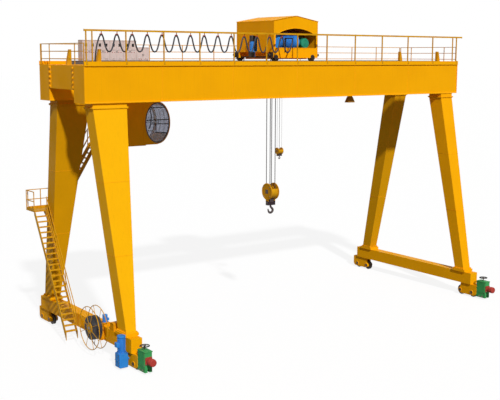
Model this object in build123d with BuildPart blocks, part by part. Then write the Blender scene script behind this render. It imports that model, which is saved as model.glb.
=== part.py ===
"""Double-girder gantry crane on rails, with a hooded trolley, two hooks and a hanging operator's cab.

X runs along the span, with 0 midway between the two rails. Y runs along the rails, with 0 midway
between the girders and the rail clamps at the -Y ends. Z is up, with 0 at the foot of the wheels.
"""

import os
from math import atan2, ceil, cos, radians, sin, tan

from build123d import *

os.makedirs("parts", exist_ok=True)

# Driving dimensions, in millimetres: girders and end beams
span = 24000
girder_left_overhang = 1140
girder_right_overhang = 790
girder_bottom = 12580
girder_depth = 1820
girder_width = 1140
girder_gap = 2820
flange_plate = 40
flange_lip = 40
kerb_height = 140
kerb_plate = 30
end_beam_depth = 1200
end_beam_width = 500
end_beam_setback = 180
bolted_flange = 40
bolted_lip = 80

# Legs: a broad stiff pair on the left, a slim pair on the right
stiff_head_length = 1840
stiff_head_width = 860
stiff_head_shift = 265
stiff_foot_length = 540
stiff_foot_width = 850
slim_head_length = 985
slim_head_width = 1010
slim_head_shift = 95
slim_foot_length = 610
slim_foot_width = 710
leg_head_spread = 2010
leg_foot_spread = 4250
leg_foot_height = 1700
leg_stub_height = 260
leg_flange = 60
leg_flange_lip = 60

# Sill beams, bogies and travel wheels
sill_bottom = 800
sill_depth = 700
sill_width = 600
sill_half_length = 5200
saddle_length = 1000
saddle_width = 760
bogie_spread = 4780
bogie_length = 1680
bogie_width = 440
bogie_clearance = 120
bogie_corner = 220
wheel_pitch = 927
wheel_flange_radius = 300
wheel_tread_radius = 270
wheel_tread_width = 90
wheel_flange_width = 22
wheel_side_gap = 12
wheel_rim_gap = 30
axle_radius = 45
axle_cap_radius = 80
axle_cap = 30
running_gap = 0.3

# Rail clamps with their handwheels and buffers
clamp_width = 390
clamp_length = 680
clamp_bottom = 130
clamp_body_height = 800
clamp_yoke_height = 220
clamp_post = 90
clamp_jaw_gap = 110
clamp_jaw_depth = 160
handwheel_radius = 250
handwheel_rim = 24
handwheel_spoke = 14
handwheel_height = 1350
screw_radius = 28
buffer_height = 700
buffer_radius = 180
buffer_waist = 145
buffer_length = 480
buffer_plate = 40

# Travel drive of the left front bogie
drive_box_width = 480
drive_box_depth = 500
drive_box_corner = 60
drive_bottom = 150
drive_box_height = 660
drive_motor_radius = 200
drive_motor_height = 860
drive_cowl_height = 90
drive_flange_radius = 240
drive_flange = 50
drive_shaft_radius = 60
drive_shaft_reach = 140

# Cable reel on the left sill beam
reel_centre_y = -2210
reel_centre_z = 1480
reel_radius = 1100
reel_ring = 20
reel_spoke = 12
reel_spokes = 8
reel_spacing = 450
reel_sill_gap = 240
reel_hub_radius = 270
reel_core_radius = 200
reel_shaft_radius = 60
reel_box_size = 360
reel_box_gap = 60
reel_motor_radius = 110
reel_motor_height = 380
terminal_box_offset = 1050
wound_radius = 600

# Stairs, landings and their railings
stair_left = -13190
stair_width = 670
stair_foot_y = 90
stair_foot_z = 490
landing_front = 3700
landing_depth = 1040
landing_length = 1600
landing_floor = 6580
upper_floor_step = 70
upper_run = 2200
upper_stair_setback = 40
upper_landing_length = 1250
upper_landing_edge = 4400
stringer_depth = 200
stringer_plate = 30
tread_rise = 265
tread_depth = 200
tread_plate = 30
stair_post_pitch = 1300
floor_plate = 60
bracket_plate = 50
bracket_drop = 700
railing_height = 1050
railing_bar = 40
hanger_post = 100
hanger_reach = 620

# Operator's cab, hung under the rear girder
cab_left = -9740
cab_length = 3400
cab_inner_y = 850
cab_width = 1600
cab_hanger_height = 160
cab_height = 2300
cab_nose = 810
cab_wall = 50
cab_window_inset = 80
cab_glass_plate = 10
cab_screen_pillar = 110
cab_screen_sill = 500
cab_door_width = 700
cab_door_height = 1950
cab_door_inset = 420
cab_hanger_width = 160
cab_base_plate = 60
cab_base_length = 1860

# Railings, festoon and walkway fittings
festoon_rail_height = 1650
festoon_rail_width = 60
festoon_rail_depth = 90
festoon_rail_overhang = 340
post_bar = 55
post_pitch = 2130
post_inset = 150
walk_rail_height = 1060
walk_rail_pitch = 375
walk_rail_bar = 36
festoon_line = 2450
festoon_start = -12490
festoon_first_top = -12150
festoon_height = 1450
festoon_loop = 840
festoon_loops = 14
festoon_depth = 830
festoon_cable_radius = 28
festoon_bend = 90
cabinet_start = -10960
cabinet_width = 795
cabinet_depth = 480
cabinet_height = 1250
cabinet_gap = 12
cabinet_back_gap = 60
cabinets_tall = 4
low_cabinet_height = 890
lamp_x = 4240
lamp_width = 520
lamp_depth = 300
lamp_height = 300
lamp_bracket = 80

# Trolley, its rails and stops
trolley_gauge = 3300
crane_rail_head = 70
crane_rail_height = 200
crane_rail_web = 24
crane_rail_base = 150
crane_rail_foot = 20
stop_line = 11800
stop_length = 260
stop_width = 200
stop_height = 620
trolley_left = -1240
trolley_right = 1900
trolley_wheel_radius = 200
trolley_flange_radius = 225
trolley_left_axle = -1090
trolley_right_axle = 1530
carriage_width = 240
carriage_overhang = 160
carriage_clearance = 160
carriage_depth = 320
deck_plate = 30
cross_beam_width = 250
cross_beam_depth = 380
left_cross_beam = -640
right_cross_beam = 1180
rope_slot_margin = 80
trolley_buffer_length = 150
trolley_buffer_radius = 70
hood_wall_height = 1690
hood_rise = 290
hood_wall = 40
hood_post = 100
hood_sill_height = 190
hood_spring_height = 890
hood_arch_rise = 400
hood_slot_start = -250
hood_slot_end = 450
hood_slot_height = 890
tow_arm_bar = 60

# Hoists: rope drums in the trolley, hook blocks below
main_x = -50
main_fall = 8690
main_block_radius = 490
main_block_length = 540
main_cheek = 50
main_rope_x = 130
main_rope_y = 240
main_rope_radius = 11
main_sheave_width = 90
main_sheave_flange = 60
main_crosshead_drop = 610
main_crosshead_depth = 200
main_strap = 110
main_shank_radius = 55
main_hook_drop = 1330
main_hook_bowl = 175
main_hook_bar = 50
main_drum_height = 610
main_drum_right = 270
aux_x = 570
aux_fall = 6185
aux_block_radius = 195
aux_block_length = 340
aux_cheek = 30
aux_rope_x = 80
aux_rope_y = 115
aux_rope_radius = 7
aux_sheave_width = 56
aux_sheave_flange = 30
aux_crosshead_drop = 225
aux_crosshead_depth = 75
aux_strap = 50
aux_shank_radius = 22
aux_hook_drop = 485
aux_hook_bowl = 55
aux_hook_bar = 18
aux_drum_height = 450
aux_drum_left = 380
aux_drum_right = 820
drum_stand = 50
winch_motor_y = -1150
winch_motor_height = 535
winch_motor_radius = 360
winch_motor_left = -700
winch_motor_right = 780
winch_gearbox_width = 250
winch_gearbox_reach = 350
winch_gearbox_height = 940
winch_foot = 300
aux_motor_x = 1250
aux_motor_height = 465
aux_motor_radius = 260
aux_motor_front = -1450
aux_motor_back = -500
aux_gearbox_back = 200
aux_gearbox_height = 750
crab_motor_y = 100
crab_motor_radius = 120
crab_motor_height = 900
crab_gearbox = 260
crab_gearbox_clearance = 30

# Places that follow from the driving dimensions
half_span = span / 2
girder_top = girder_bottom + girder_depth
girder_inner = girder_gap / 2
girder_mid = girder_inner + girder_width / 2
girder_outer = girder_inner + girder_width
girder_left = -half_span - girder_left_overhang
girder_right = half_span + girder_right_overhang
sill_top = sill_bottom + sill_depth
sill_face = -half_span - sill_width / 2
bogie_end = bogie_spread + bogie_length / 2
bogie_depth = sill_bottom - bogie_clearance
rail_line = trolley_gauge / 2
rail_top = girder_top + crane_rail_height
hood_side = rail_line + carriage_width / 2
carriage_bottom = rail_top + carriage_clearance
deck_bottom = carriage_bottom + carriage_depth
deck_top = deck_bottom + deck_plate
hood_eave = deck_top + hood_wall_height
hood_ridge = hood_eave + hood_rise
hood_sill = deck_top + hood_sill_height
hood_spring = deck_top + hood_spring_height
main_drum_axis = deck_top + main_drum_height
main_axis = main_drum_axis - main_fall
main_crosshead_top = main_axis - main_crosshead_drop
main_hook_bottom = main_axis - main_hook_drop
aux_drum_axis = deck_top + aux_drum_height
aux_axis = aux_drum_axis - aux_fall
aux_crosshead_top = aux_axis - aux_crosshead_drop
aux_hook_bottom = aux_axis - aux_hook_drop
winch_motor_axis = deck_top + winch_motor_height
aux_motor_axis = deck_top + aux_motor_height
festoon_top = girder_top + festoon_height
cab_outer_y = cab_inner_y + cab_width
cab_right = cab_left + cab_length
cab_top = girder_bottom - cab_hanger_height
cab_bottom = cab_top - cab_height
upper_floor = cab_bottom - upper_floor_step
ENDS = (("left", -1), ("right", 1))
SIDES = (("front", -1), ("rear", 1))


def save(builder, name):
    """Label a finished piece and write it to its own file."""
    builder.part.label = name
    export_step(builder.part, f"parts/{name}.step")


def around(centre, half):
    """The low and high faces of something centred on a line."""
    return centre - half, centre + half


def bar(x, y, z, mode=Mode.ADD):
    """A straight bar or plate between its low and high faces along each axis."""
    with Locations(((x[0] + x[1]) / 2, (y[0] + y[1]) / 2, (z[0] + z[1]) / 2)):
        Box(x[1] - x[0], y[1] - y[0], z[1] - z[0], mode=mode)


def rod(start, direction, radius, length, mode=Mode.ADD):
    """A round rod from a start point along a direction."""
    with BuildSketch(Plane(origin=start, z_dir=direction)) as section:
        Circle(radius)
    extrude(section.sketch, amount=length, mode=mode)


def facing_front(x, y, z):
    """A plane square to Y, with its own x along +X and its y up; it faces -Y."""
    return Plane(origin=(x, y, z), x_dir=(1, 0, 0), z_dir=(0, -1, 0))


def facing_right(x, y, z):
    """A plane square to X, with its own x along +Y and its y up; it faces +X."""
    return Plane(origin=(x, y, z), x_dir=(0, 1, 0), z_dir=(1, 0, 0))


# Front and rear box girders, with lipped flanges, end plates and a kerb along the outer edge
for side_name, side in SIDES:
    with BuildPart() as girder:
        with BuildSketch(facing_right(girder_left, side * girder_mid, girder_bottom)):
            with Locations((0, girder_depth / 2)):
                Rectangle(girder_width - 2 * flange_lip, girder_depth)
            with Locations((0, flange_plate / 2), (0, girder_depth - flange_plate / 2)):
                Rectangle(girder_width, flange_plate)
            with Locations((side * (girder_width + kerb_plate) / 2, girder_depth + kerb_height / 2)):
                Rectangle(kerb_plate, kerb_height + 2 * flange_plate)
        extrude(amount=girder_right - girder_left)
        for x in (girder_left, girder_right - flange_plate):
            plate_y = around(side * girder_mid, girder_width / 2)
            bar((x, x + flange_plate), plate_y, (girder_bottom, girder_top))
    save(girder, f"{side_name}_girder")

# Cross beams that tie the girders at both ends, on bolted flanges
beam_z = (girder_top - end_beam_depth, girder_top)
with BuildPart() as end_beams:
    for x in (girder_left + end_beam_setback, girder_right - end_beam_setback - end_beam_width):
        bar((x, x + end_beam_width), around(0, girder_inner), beam_z)
        for side in (-1, 1):
            flange_y = around(side * (girder_inner - bolted_flange / 2), bolted_flange / 2)
            bar((x - bolted_lip, x + end_beam_width + bolted_lip), flange_y, beam_z)
save(end_beams, "end_beams")

# Crane rails that the trolley runs on
with BuildPart() as trolley_rails:
    for side in (-1, 1):
        with BuildSketch(facing_right(-stop_line, side * rail_line, girder_top)):
            with Locations((0, crane_rail_height / 2)):
                Rectangle(crane_rail_web, crane_rail_height)
            with Locations((0, crane_rail_height - crane_rail_head / 4)):
                Rectangle(crane_rail_head, crane_rail_head / 2)
            with Locations((0, crane_rail_foot / 2)):
                Rectangle(crane_rail_base, crane_rail_foot)
    extrude(amount=2 * stop_line)
save(trolley_rails, "trolley_rails")

# Upright stops at the rail ends, sloped behind
with BuildPart() as end_stops:
    for side in (-1, 1):
        with BuildSketch(facing_front(0, side * rail_line + stop_width / 2, girder_top)):
            Polygon(
                (stop_line, 0),
                (stop_line + stop_length, 0),
                (stop_line + stop_length / 2, stop_height),
                (stop_line, stop_height),
                align=None,
            )
            mirror(about=Plane.YZ)
        extrude(amount=stop_width)
save(end_stops, "end_stops")


def leg(side, end, head, foot, head_shift):
    """A tapered box leg from its bolted foot flange to the stub under the girder."""
    foot_at = (end * half_span, side * leg_foot_spread)
    head_at = (end * (half_span - head_shift), side * leg_head_spread)
    head_height = girder_bottom - leg_stub_height
    lip = 2 * leg_flange_lip
    with BuildPart() as tapered:
        with BuildSketch(Plane.XY.offset(leg_foot_height)):
            with Locations(foot_at):
                Rectangle(*foot)
        with BuildSketch(Plane.XY.offset(head_height)):
            with Locations(head_at):
                Rectangle(*head)
        loft(ruled=True)
        with BuildSketch(Plane.XY.offset(leg_foot_height - leg_flange)):
            with Locations(foot_at):
                Rectangle(foot[0] + lip, foot[1] + lip)
        extrude(amount=leg_flange)
        with BuildSketch(Plane.XY.offset(head_height)):
            with Locations(head_at):
                Rectangle(head[0] + lip, head[1] + lip)
        extrude(amount=leg_flange)
        with BuildSketch(Plane.XY.offset(head_height)):
            with Locations(head_at):
                Rectangle(*head)
        extrude(amount=leg_stub_height)
    return tapered


# Four box legs, bolted to the sill beams below and to the girders above
stiff_head = (stiff_head_length, stiff_head_width)
stiff_foot = (stiff_foot_length, stiff_foot_width)
slim_head = (slim_head_length, slim_head_width)
slim_foot = (slim_foot_length, slim_foot_width)
for side_name, side in SIDES:
    save(leg(side, -1, stiff_head, stiff_foot, stiff_head_shift), f"{side_name}_left_leg")
    save(leg(side, 1, slim_head, slim_foot, slim_head_shift), f"{side_name}_right_leg")

# Sill beams that join each pair of feet, with a saddle under each leg
with BuildPart() as sill_beams:
    for end in (-1, 1):
        bar(around(end * half_span, sill_width / 2), around(0, sill_half_length), (sill_bottom, sill_top))
        for side in (-1, 1):
            bar(
                around(end * half_span, saddle_width / 2),
                around(side * leg_foot_spread, saddle_length / 2),
                (sill_top, leg_foot_height - leg_flange),
            )
save(sill_beams, "sill_beams")

# Bogie housings: boxes with round lower ends and an open pocket for each wheel
pocket_half_width = wheel_tread_width / 2 + wheel_flange_width + wheel_side_gap
pocket_half_length = wheel_flange_radius + wheel_rim_gap
for end_name, end in ENDS:
    x = end * half_span
    with BuildPart() as bogies:
        for side in (-1, 1):
            with BuildSketch(facing_right(x - bogie_width / 2, side * bogie_spread, sill_bottom)):
                with Locations((0, -bogie_depth / 2)):
                    Rectangle(bogie_length, bogie_depth)
                fillet(vertices().group_by(Axis.Y)[0], bogie_corner)
        extrude(amount=bogie_width)
        for side in (-1, 1):
            for wheel_y in around(side * bogie_spread, wheel_pitch / 2):
                bar(
                    around(x, pocket_half_width),
                    around(wheel_y, pocket_half_length),
                    (0, wheel_flange_radius + pocket_half_length),
                    mode=Mode.SUBTRACT,
                )
                bore_start = (x - bogie_width / 2, wheel_y, wheel_flange_radius)
                rod(bore_start, (1, 0, 0), axle_radius + running_gap, bogie_width, mode=Mode.SUBTRACT)
    save(bogies, f"{end_name}_bogies")


def wheel_section(centre, tread_radius, flange_radius):
    """Outline of one double-flanged wheel, from left to right along its axle."""
    tread = wheel_tread_width / 2
    side = tread + wheel_flange_width
    return [
        (centre - side, axle_radius),
        (centre - side, flange_radius),
        (centre - tread, flange_radius),
        (centre - tread, tread_radius),
        (centre + tread, tread_radius),
        (centre + tread, flange_radius),
        (centre + side, flange_radius),
        (centre + side, axle_radius),
    ]


def turned(plane, axis_direction, outline):
    """A solid turned from a half outline, drawn along the plane's x and out along its y."""
    with BuildPart() as solid:
        with BuildSketch(plane):
            Polygon(*outline, align=None)
        revolve(axis=Axis(plane.origin, axis_direction))
    return solid


def axle_end(at, outward):
    """Outline of an axle's end cap, from the axle's surface to its middle line."""
    return [
        (at, axle_radius),
        (at, axle_cap_radius),
        (at + outward * axle_cap, axle_cap_radius),
        (at + outward * axle_cap, 0),
    ]


# Eight travel wheels, two in each bogie, each turned with its axle
cap_at = bogie_width / 2 + running_gap
wheel_outline = (
    list(reversed(axle_end(-cap_at, -1)))
    + wheel_section(0, wheel_tread_radius, wheel_flange_radius)
    + axle_end(cap_at, 1)
)
for end_name, end in ENDS:
    for side_name, side in SIDES:
        for place, step in (("outer", side), ("inner", -side)):
            wheel_y = side * bogie_spread + step * wheel_pitch / 2
            wheel_plane = facing_front(end * half_span, wheel_y, wheel_flange_radius)
            wheel = turned(wheel_plane, (1, 0, 0), wheel_outline)
            save(wheel, f"{side_name}_{end_name}_{place}_wheel")

# Rail clamps bolted to the front bogie ends: a body with two jaws, and a yoke over it for the screw
clamp_back = -bogie_end
clamp_front = clamp_back - clamp_length
clamp_mid = (clamp_back + clamp_front) / 2
clamp_body_top = clamp_bottom + clamp_body_height
yoke_top = clamp_body_top + clamp_yoke_height
with BuildPart() as rail_clamps:
    for end in (-1, 1):
        x = end * half_span
        with BuildSketch(facing_right(x - clamp_width / 2, clamp_mid, clamp_bottom)):
            with Locations((0, (yoke_top - clamp_bottom) / 2)):
                Rectangle(clamp_length, yoke_top - clamp_bottom)
            with Locations((0, clamp_body_height + (clamp_yoke_height - clamp_post) / 2)):
                Rectangle(clamp_length - 2 * clamp_post, clamp_yoke_height - clamp_post, mode=Mode.SUBTRACT)
    extrude(amount=clamp_width)
    for end in (-1, 1):
        x = end * half_span
        jaw_z = (clamp_bottom, clamp_bottom + clamp_jaw_depth)
        bar(around(x, clamp_jaw_gap / 2), (clamp_front, clamp_back), jaw_z, mode=Mode.SUBTRACT)
        bore_start = (x, clamp_mid, yoke_top - clamp_post)
        rod(bore_start, (0, 0, 1), screw_radius + running_gap, clamp_post, mode=Mode.SUBTRACT)
save(rail_clamps, "rail_clamps")

# Handwheels on the clamp screws: a round rim on four spokes, its screw standing on the clamp body
for end_name, end in ENDS:
    x = end * half_span
    rim_line = handwheel_radius - handwheel_rim
    with BuildPart() as handwheel:
        with BuildSketch(facing_front(x, clamp_mid, handwheel_height)):
            with Locations((rim_line, 0)):
                Circle(handwheel_rim)
        revolve(axis=Axis((x, clamp_mid, handwheel_height), (0, 0, 1)))
        for quarter in range(4):
            angle = radians(45 + 90 * quarter)
            rod((x, clamp_mid, handwheel_height), (cos(angle), sin(angle), 0), handwheel_spoke, rim_line)
        hub_at = (x, clamp_mid, handwheel_height - handwheel_rim)
        rod(hub_at, (0, 0, 1), 2 * screw_radius, 2 * handwheel_rim)
        screw_foot = clamp_body_top + running_gap
        rod((x, clamp_mid, screw_foot), (0, 0, 1), screw_radius, handwheel_height - screw_foot)
    save(handwheel, f"{end_name}_handwheel")

# Round buffers on the clamps' front faces: a backing plate, a waist and a rubber head
with BuildPart() as buffers:
    for end in (-1, 1):
        x = end * half_span
        waist_at = clamp_front - buffer_plate
        head_at = clamp_front - buffer_length / 2
        bar(around(x, buffer_radius), (waist_at, clamp_front), around(buffer_height, buffer_radius))
        rod((x, waist_at, buffer_height), (0, -1, 0), buffer_waist, buffer_length / 2)
        rod((x, head_at, buffer_height), (0, -1, 0), buffer_radius, buffer_length / 2)
    fillet(faces().filter_by(Axis.Y).group_by(Axis.Y)[0].edges(), buffer_plate)
save(buffers, "buffers")

# Travel drive beside the left front bogie: an upright motor on a gearbox, with its shaft to the bogie
bogie_side = -half_span - bogie_width / 2
drive_x = (bogie_side - drive_shaft_reach - drive_box_width, bogie_side - drive_shaft_reach)
drive_mid = (drive_x[0] + drive_x[1]) / 2
drive_y = -bogie_spread
drive_box_top = drive_bottom + drive_box_height
motor_top = drive_box_top + drive_motor_height
with BuildPart() as travel_drive:
    bar(drive_x, around(drive_y, drive_box_depth / 2), (drive_bottom, drive_box_top))
    fillet(edges().filter_by(Axis.Z), drive_box_corner)
    motor_at = (drive_mid, drive_y, drive_box_top)
    rod(motor_at, (0, 0, 1), drive_flange_radius, drive_flange)
    rod(motor_at, (0, 0, 1), drive_motor_radius - drive_flange / 2, drive_motor_height)
    cowl_at = (drive_mid, drive_y, motor_top - drive_cowl_height)
    rod(cowl_at, (0, 0, 1), drive_motor_radius, drive_cowl_height)
    shaft_z = (drive_bottom + drive_box_top) / 2
    rod((drive_x[1], drive_y, shaft_z), (1, 0, 0), drive_shaft_radius, drive_shaft_reach)
save(travel_drive, "travel_drive")

# Cable reel: two spoked rings with hub discs, on a shaft and core
ring_inner = sill_face - reel_sill_gap
ring_outer = ring_inner - reel_spacing
reel_line = (reel_centre_y, reel_centre_z)
with BuildPart() as cable_reel:
    for x in (ring_inner, ring_outer):
        with BuildSketch(facing_front(x, *reel_line)):
            with Locations((0, reel_radius - reel_ring)):
                Circle(reel_ring)
        revolve(axis=Axis((x, *reel_line), (1, 0, 0)))
        for turn in range(reel_spokes):
            angle = radians(360 / reel_spokes * (turn + 0.5))
            rod((x, *reel_line), (0, cos(angle), sin(angle)), reel_spoke, reel_radius - reel_ring)
        rod((x - reel_ring, *reel_line), (1, 0, 0), reel_hub_radius, 2 * reel_ring)
    rod((ring_outer, *reel_line), (1, 0, 0), reel_core_radius, reel_spacing)
    rod((ring_outer, *reel_line), (1, 0, 0), reel_shaft_radius, reel_spacing + reel_sill_gap - running_gap)
save(cable_reel, "cable_reel")

# Cable wound on the reel's core, between the hub discs
wound_start = ring_outer + reel_ring + running_gap
wound_length = reel_spacing - 2 * (reel_ring + running_gap)
with BuildPart() as reel_cable:
    wound_at = (wound_start, *reel_line)
    rod(wound_at, (1, 0, 0), wound_radius, wound_length)
    rod(wound_at, (1, 0, 0), reel_core_radius + running_gap, wound_length, mode=Mode.SUBTRACT)
save(reel_cable, "reel_cable")

# Reel drive on the sill beam: a bearing box with its motor, and a terminal box beside it
reel_box_left = ring_inner + reel_ring + reel_box_gap
reel_box_top = reel_centre_z + reel_box_size / 2
with BuildPart() as reel_drive:
    bar((reel_box_left, sill_face), around(reel_centre_y, reel_box_size / 2), (sill_bottom, reel_box_top))
    bar(
        (sill_face, sill_face + reel_box_size),
        around(reel_centre_y, reel_box_size / 2),
        (sill_top, reel_box_top),
    )
    bore_start = (reel_box_left, *reel_line)
    bore_length = sill_face - reel_box_left
    rod(bore_start, (1, 0, 0), reel_shaft_radius + running_gap, bore_length, mode=Mode.SUBTRACT)
    motor_at = (sill_face + reel_box_size / 2, reel_centre_y, reel_box_top)
    rod(motor_at, (0, 0, 1), reel_motor_radius, reel_motor_height)
    bar(
        (sill_face, sill_face + reel_box_size),
        around(reel_centre_y - terminal_box_offset, reel_box_size / 2),
        (sill_top, sill_top + reel_box_size),
    )
save(reel_drive, "reel_drive")


def side_frame(run, rise, with_rail):
    """Stair side seen square on: a stringer and, where wanted, posts with a handrail and a knee rail."""
    slope = atan2(rise, run)
    half = stringer_depth / cos(slope) / 2
    Polygon(
        (0, -half),
        (run, rise - half),
        (run, rise),
        (run - half / tan(slope), rise),
        (0, half),
        align=None,
    )
    if with_rail:
        first, last = stringer_depth, run - stringer_depth
        bays = ceil((last - first) / stair_post_pitch)
        for i in range(bays + 1):
            along = first + (last - first) * i / bays
            with Locations((along, along * tan(slope) + railing_height / 2)):
                Rectangle(railing_bar, railing_height)
        for height in (railing_height / 2, railing_height):
            start, stop = first - railing_bar / 2, last + railing_bar / 2
            Polygon(
                (start, start * tan(slope) + height - railing_bar),
                (stop, stop * tan(slope) + height - railing_bar),
                (stop, stop * tan(slope) + height + railing_bar),
                (start, start * tan(slope) + height + railing_bar),
                align=None,
            )


def flight(name, plane, run, rise, railed):
    """A straight stair flight: two side frames, and treads held between them.

    The plane's x runs up the flight, its y is up and its z runs across the treads."""
    with BuildPart() as sides:
        for across, with_rail in zip((0, stair_width - stringer_plate), railed):
            with BuildSketch(plane.offset(across)):
                side_frame(run, rise, with_rail)
            extrude(amount=stringer_plate)
    save(sides, f"{name}_sides")
    steps = round(rise / tread_rise)
    with BuildPart() as treads:
        with BuildSketch(plane.offset(stringer_plate)):
            for i in range(1, steps):
                with Locations((run * i / steps, rise * i / steps - tread_plate / 2)):
                    Rectangle(tread_depth, tread_plate)
        extrude(amount=stair_width - 2 * stringer_plate)
    save(treads, f"{name}_treads")


# Lower flight, up the outer side of the left legs to the landing
lower_run = landing_front - stair_foot_y
lower_rise = landing_floor - stair_foot_z
lower_plane = facing_right(stair_left, stair_foot_y, stair_foot_z)
flight("lower_stair", lower_plane, lower_run, lower_rise, (False, True))

# Upper flight, behind the rear left leg, up to the cab's level
upper_start = stair_left + landing_length
upper_stair_back = landing_front + upper_stair_setback + stair_width
upper_rise = upper_floor - landing_floor
upper_plane = facing_front(upper_start, upper_stair_back, landing_floor)
flight("upper_stair", upper_plane, upper_run, upper_rise, (True, True))


def leg_back(z):
    """Where the rear left leg's outer face is, at a height."""
    foot_y = leg_foot_spread + stiff_foot_width / 2
    head_y = leg_head_spread + stiff_head_width / 2
    head_z = girder_bottom - leg_stub_height
    return foot_y + (head_y - foot_y) * (z - leg_foot_height) / (head_z - leg_foot_height)


# Landings: the lower one on brackets from the rear left leg, the upper one on posts from the girder
landing_back = landing_front + landing_depth
landing_under = landing_floor - floor_plate
upper_start_x = upper_start + upper_run
upper_end_x = upper_start_x + upper_landing_length
upper_under = upper_floor - floor_plate
with BuildPart() as landings:
    bar((stair_left, upper_start), (landing_front, landing_back), (landing_under, landing_floor))
    for x in around(-half_span, stiff_foot_length / 2):
        with BuildSketch(facing_right(x - bracket_plate / 2, 0, 0)):
            Polygon(
                (leg_back(landing_under) + running_gap, landing_under),
                (landing_back - floor_plate, landing_under),
                (leg_back(landing_under - bracket_drop) + running_gap, landing_under - bracket_drop),
                align=None,
            )
        extrude(amount=bracket_plate)
    bar((upper_start_x, upper_end_x), (girder_outer, upper_landing_edge), (upper_under, upper_floor))
    for x in (upper_start_x, upper_end_x - hanger_post):
        post_z = (upper_under - bracket_drop, girder_bottom + hanger_reach)
        bar((x, x + hanger_post), (girder_outer, girder_outer + hanger_post), post_z)
        with BuildSketch(facing_right(x, girder_outer + hanger_post, upper_under)):
            reach = upper_landing_edge - girder_outer - hanger_post - floor_plate
            Polygon((0, 0), (reach, 0), (0, -bracket_drop), align=None)
        extrude(amount=bracket_plate)
save(landings, "landings")


def railing_panel(plane, length, heights, posts, bar_width):
    """A flat railing panel: posts evenly along the plane's x, and rails at the given heights."""
    with BuildSketch(plane) as panel:
        for height in heights:
            with Locations((length / 2, height - bar_width / 2)):
                Rectangle(length, bar_width)
        for i in range(posts):
            with Locations((bar_width / 2 + (length - bar_width) * i / (posts - 1), max(heights) / 2)):
                Rectangle(bar_width, max(heights))
    extrude(panel.sketch, amount=bar_width)


# Railings round the two landings
landing_rails = (railing_height, railing_height / 2)
back_start = stair_left + 2 * railing_bar
end_start = girder_outer + hanger_post + railing_bar
end_length = upper_landing_edge - 2 * railing_bar - end_start
with BuildPart() as landing_railings:
    outer_plane = facing_right(stair_left, landing_front, landing_floor)
    railing_panel(outer_plane, landing_depth, landing_rails, 2, railing_bar)
    back_plane = facing_front(back_start, landing_back, landing_floor)
    railing_panel(back_plane, upper_start - back_start, landing_rails, 3, railing_bar)
    edge_plane = facing_front(upper_start_x, upper_landing_edge, upper_floor)
    railing_panel(edge_plane, upper_landing_length, landing_rails, 2, railing_bar)
    end_plane = facing_right(upper_end_x - railing_bar, end_start, upper_floor)
    railing_panel(end_plane, end_length, landing_rails, 3, railing_bar)
save(landing_railings, "landing_railings")

# Cab: a hollow box with a rounded nose, cut for side windows, a curved windscreen and a rear door
nose_x = cab_right - cab_nose
cab_mid_z = (cab_bottom + cab_top) / 2
cab_half = cab_height / 2
window_radii = (cab_nose - cab_window_inset, cab_half - cab_window_inset)
screen_y = (cab_inner_y + cab_screen_pillar, cab_outer_y - cab_screen_pillar)
screen_z = (cab_bottom + cab_screen_sill, cab_top - cab_screen_sill / 2)
door_x = (cab_left + cab_door_inset, cab_left + cab_door_inset + cab_door_width)


def cab_profile(inset):
    """The cab seen from its side: a box that ends in a half ellipse at the nose."""
    length = nose_x - cab_left - inset
    with Locations((nose_x - length / 2, cab_mid_z)):
        Rectangle(length, cab_height - 2 * inset)
    with Locations((nose_x, cab_mid_z)):
        Ellipse(cab_nose - inset, cab_half - inset)


with BuildPart() as cab_shell:
    with BuildSketch(facing_front(0, cab_outer_y, 0)):
        cab_profile(0)
    extrude(amount=cab_width)
    with BuildSketch(facing_front(0, cab_outer_y - cab_wall, 0)):
        cab_profile(cab_wall)
    extrude(amount=cab_width - 2 * cab_wall, mode=Mode.SUBTRACT)
    with BuildSketch(facing_front(nose_x, cab_outer_y, cab_mid_z)):
        Ellipse(*window_radii)
    extrude(amount=cab_width, mode=Mode.SUBTRACT)
    bar((nose_x, cab_right), screen_y, screen_z, mode=Mode.SUBTRACT)
    door_z = (cab_bottom + cab_wall, cab_bottom + cab_wall + cab_door_height)
    bar(door_x, (cab_outer_y - cab_wall, cab_outer_y), door_z, mode=Mode.SUBTRACT)
    for x in (cab_left, nose_x - cab_hanger_width):
        bar((x, x + cab_hanger_width), (girder_inner, cab_outer_y), (cab_top, girder_bottom))
    base_x = (cab_left, cab_left + cab_base_length)
    bar(base_x, (cab_inner_y, cab_outer_y), (cab_bottom - cab_base_plate, cab_bottom))
save(cab_shell, "cab_shell")

# Cab glass: an oval pane in each side wall and one bent windscreen
with BuildPart() as cab_glass:
    for wall_mid in (cab_inner_y + cab_wall / 2, cab_outer_y - cab_wall / 2):
        y = wall_mid + cab_glass_plate / 2
        with BuildSketch(facing_front(nose_x, y, cab_mid_z)):
            Ellipse(window_radii[0] - running_gap, window_radii[1] - running_gap)
        extrude(amount=cab_glass_plate)
    pane_inset = (cab_wall - cab_glass_plate) / 2
    with BuildSketch(facing_front(nose_x, screen_y[1] - running_gap, cab_mid_z)):
        Ellipse(cab_nose - pane_inset, cab_half - pane_inset)
        Ellipse(
            cab_nose - pane_inset - cab_glass_plate,
            cab_half - pane_inset - cab_glass_plate,
            mode=Mode.SUBTRACT,
        )
        low, high = screen_z[0] + running_gap - cab_mid_z, screen_z[1] - running_gap - cab_mid_z
        with Locations((running_gap + cab_nose / 2, (low + high) / 2)):
            Rectangle(cab_nose, high - low, mode=Mode.INTERSECT)
    extrude(amount=screen_y[1] - screen_y[0] - 2 * running_gap)
save(cab_glass, "cab_glass")

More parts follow.
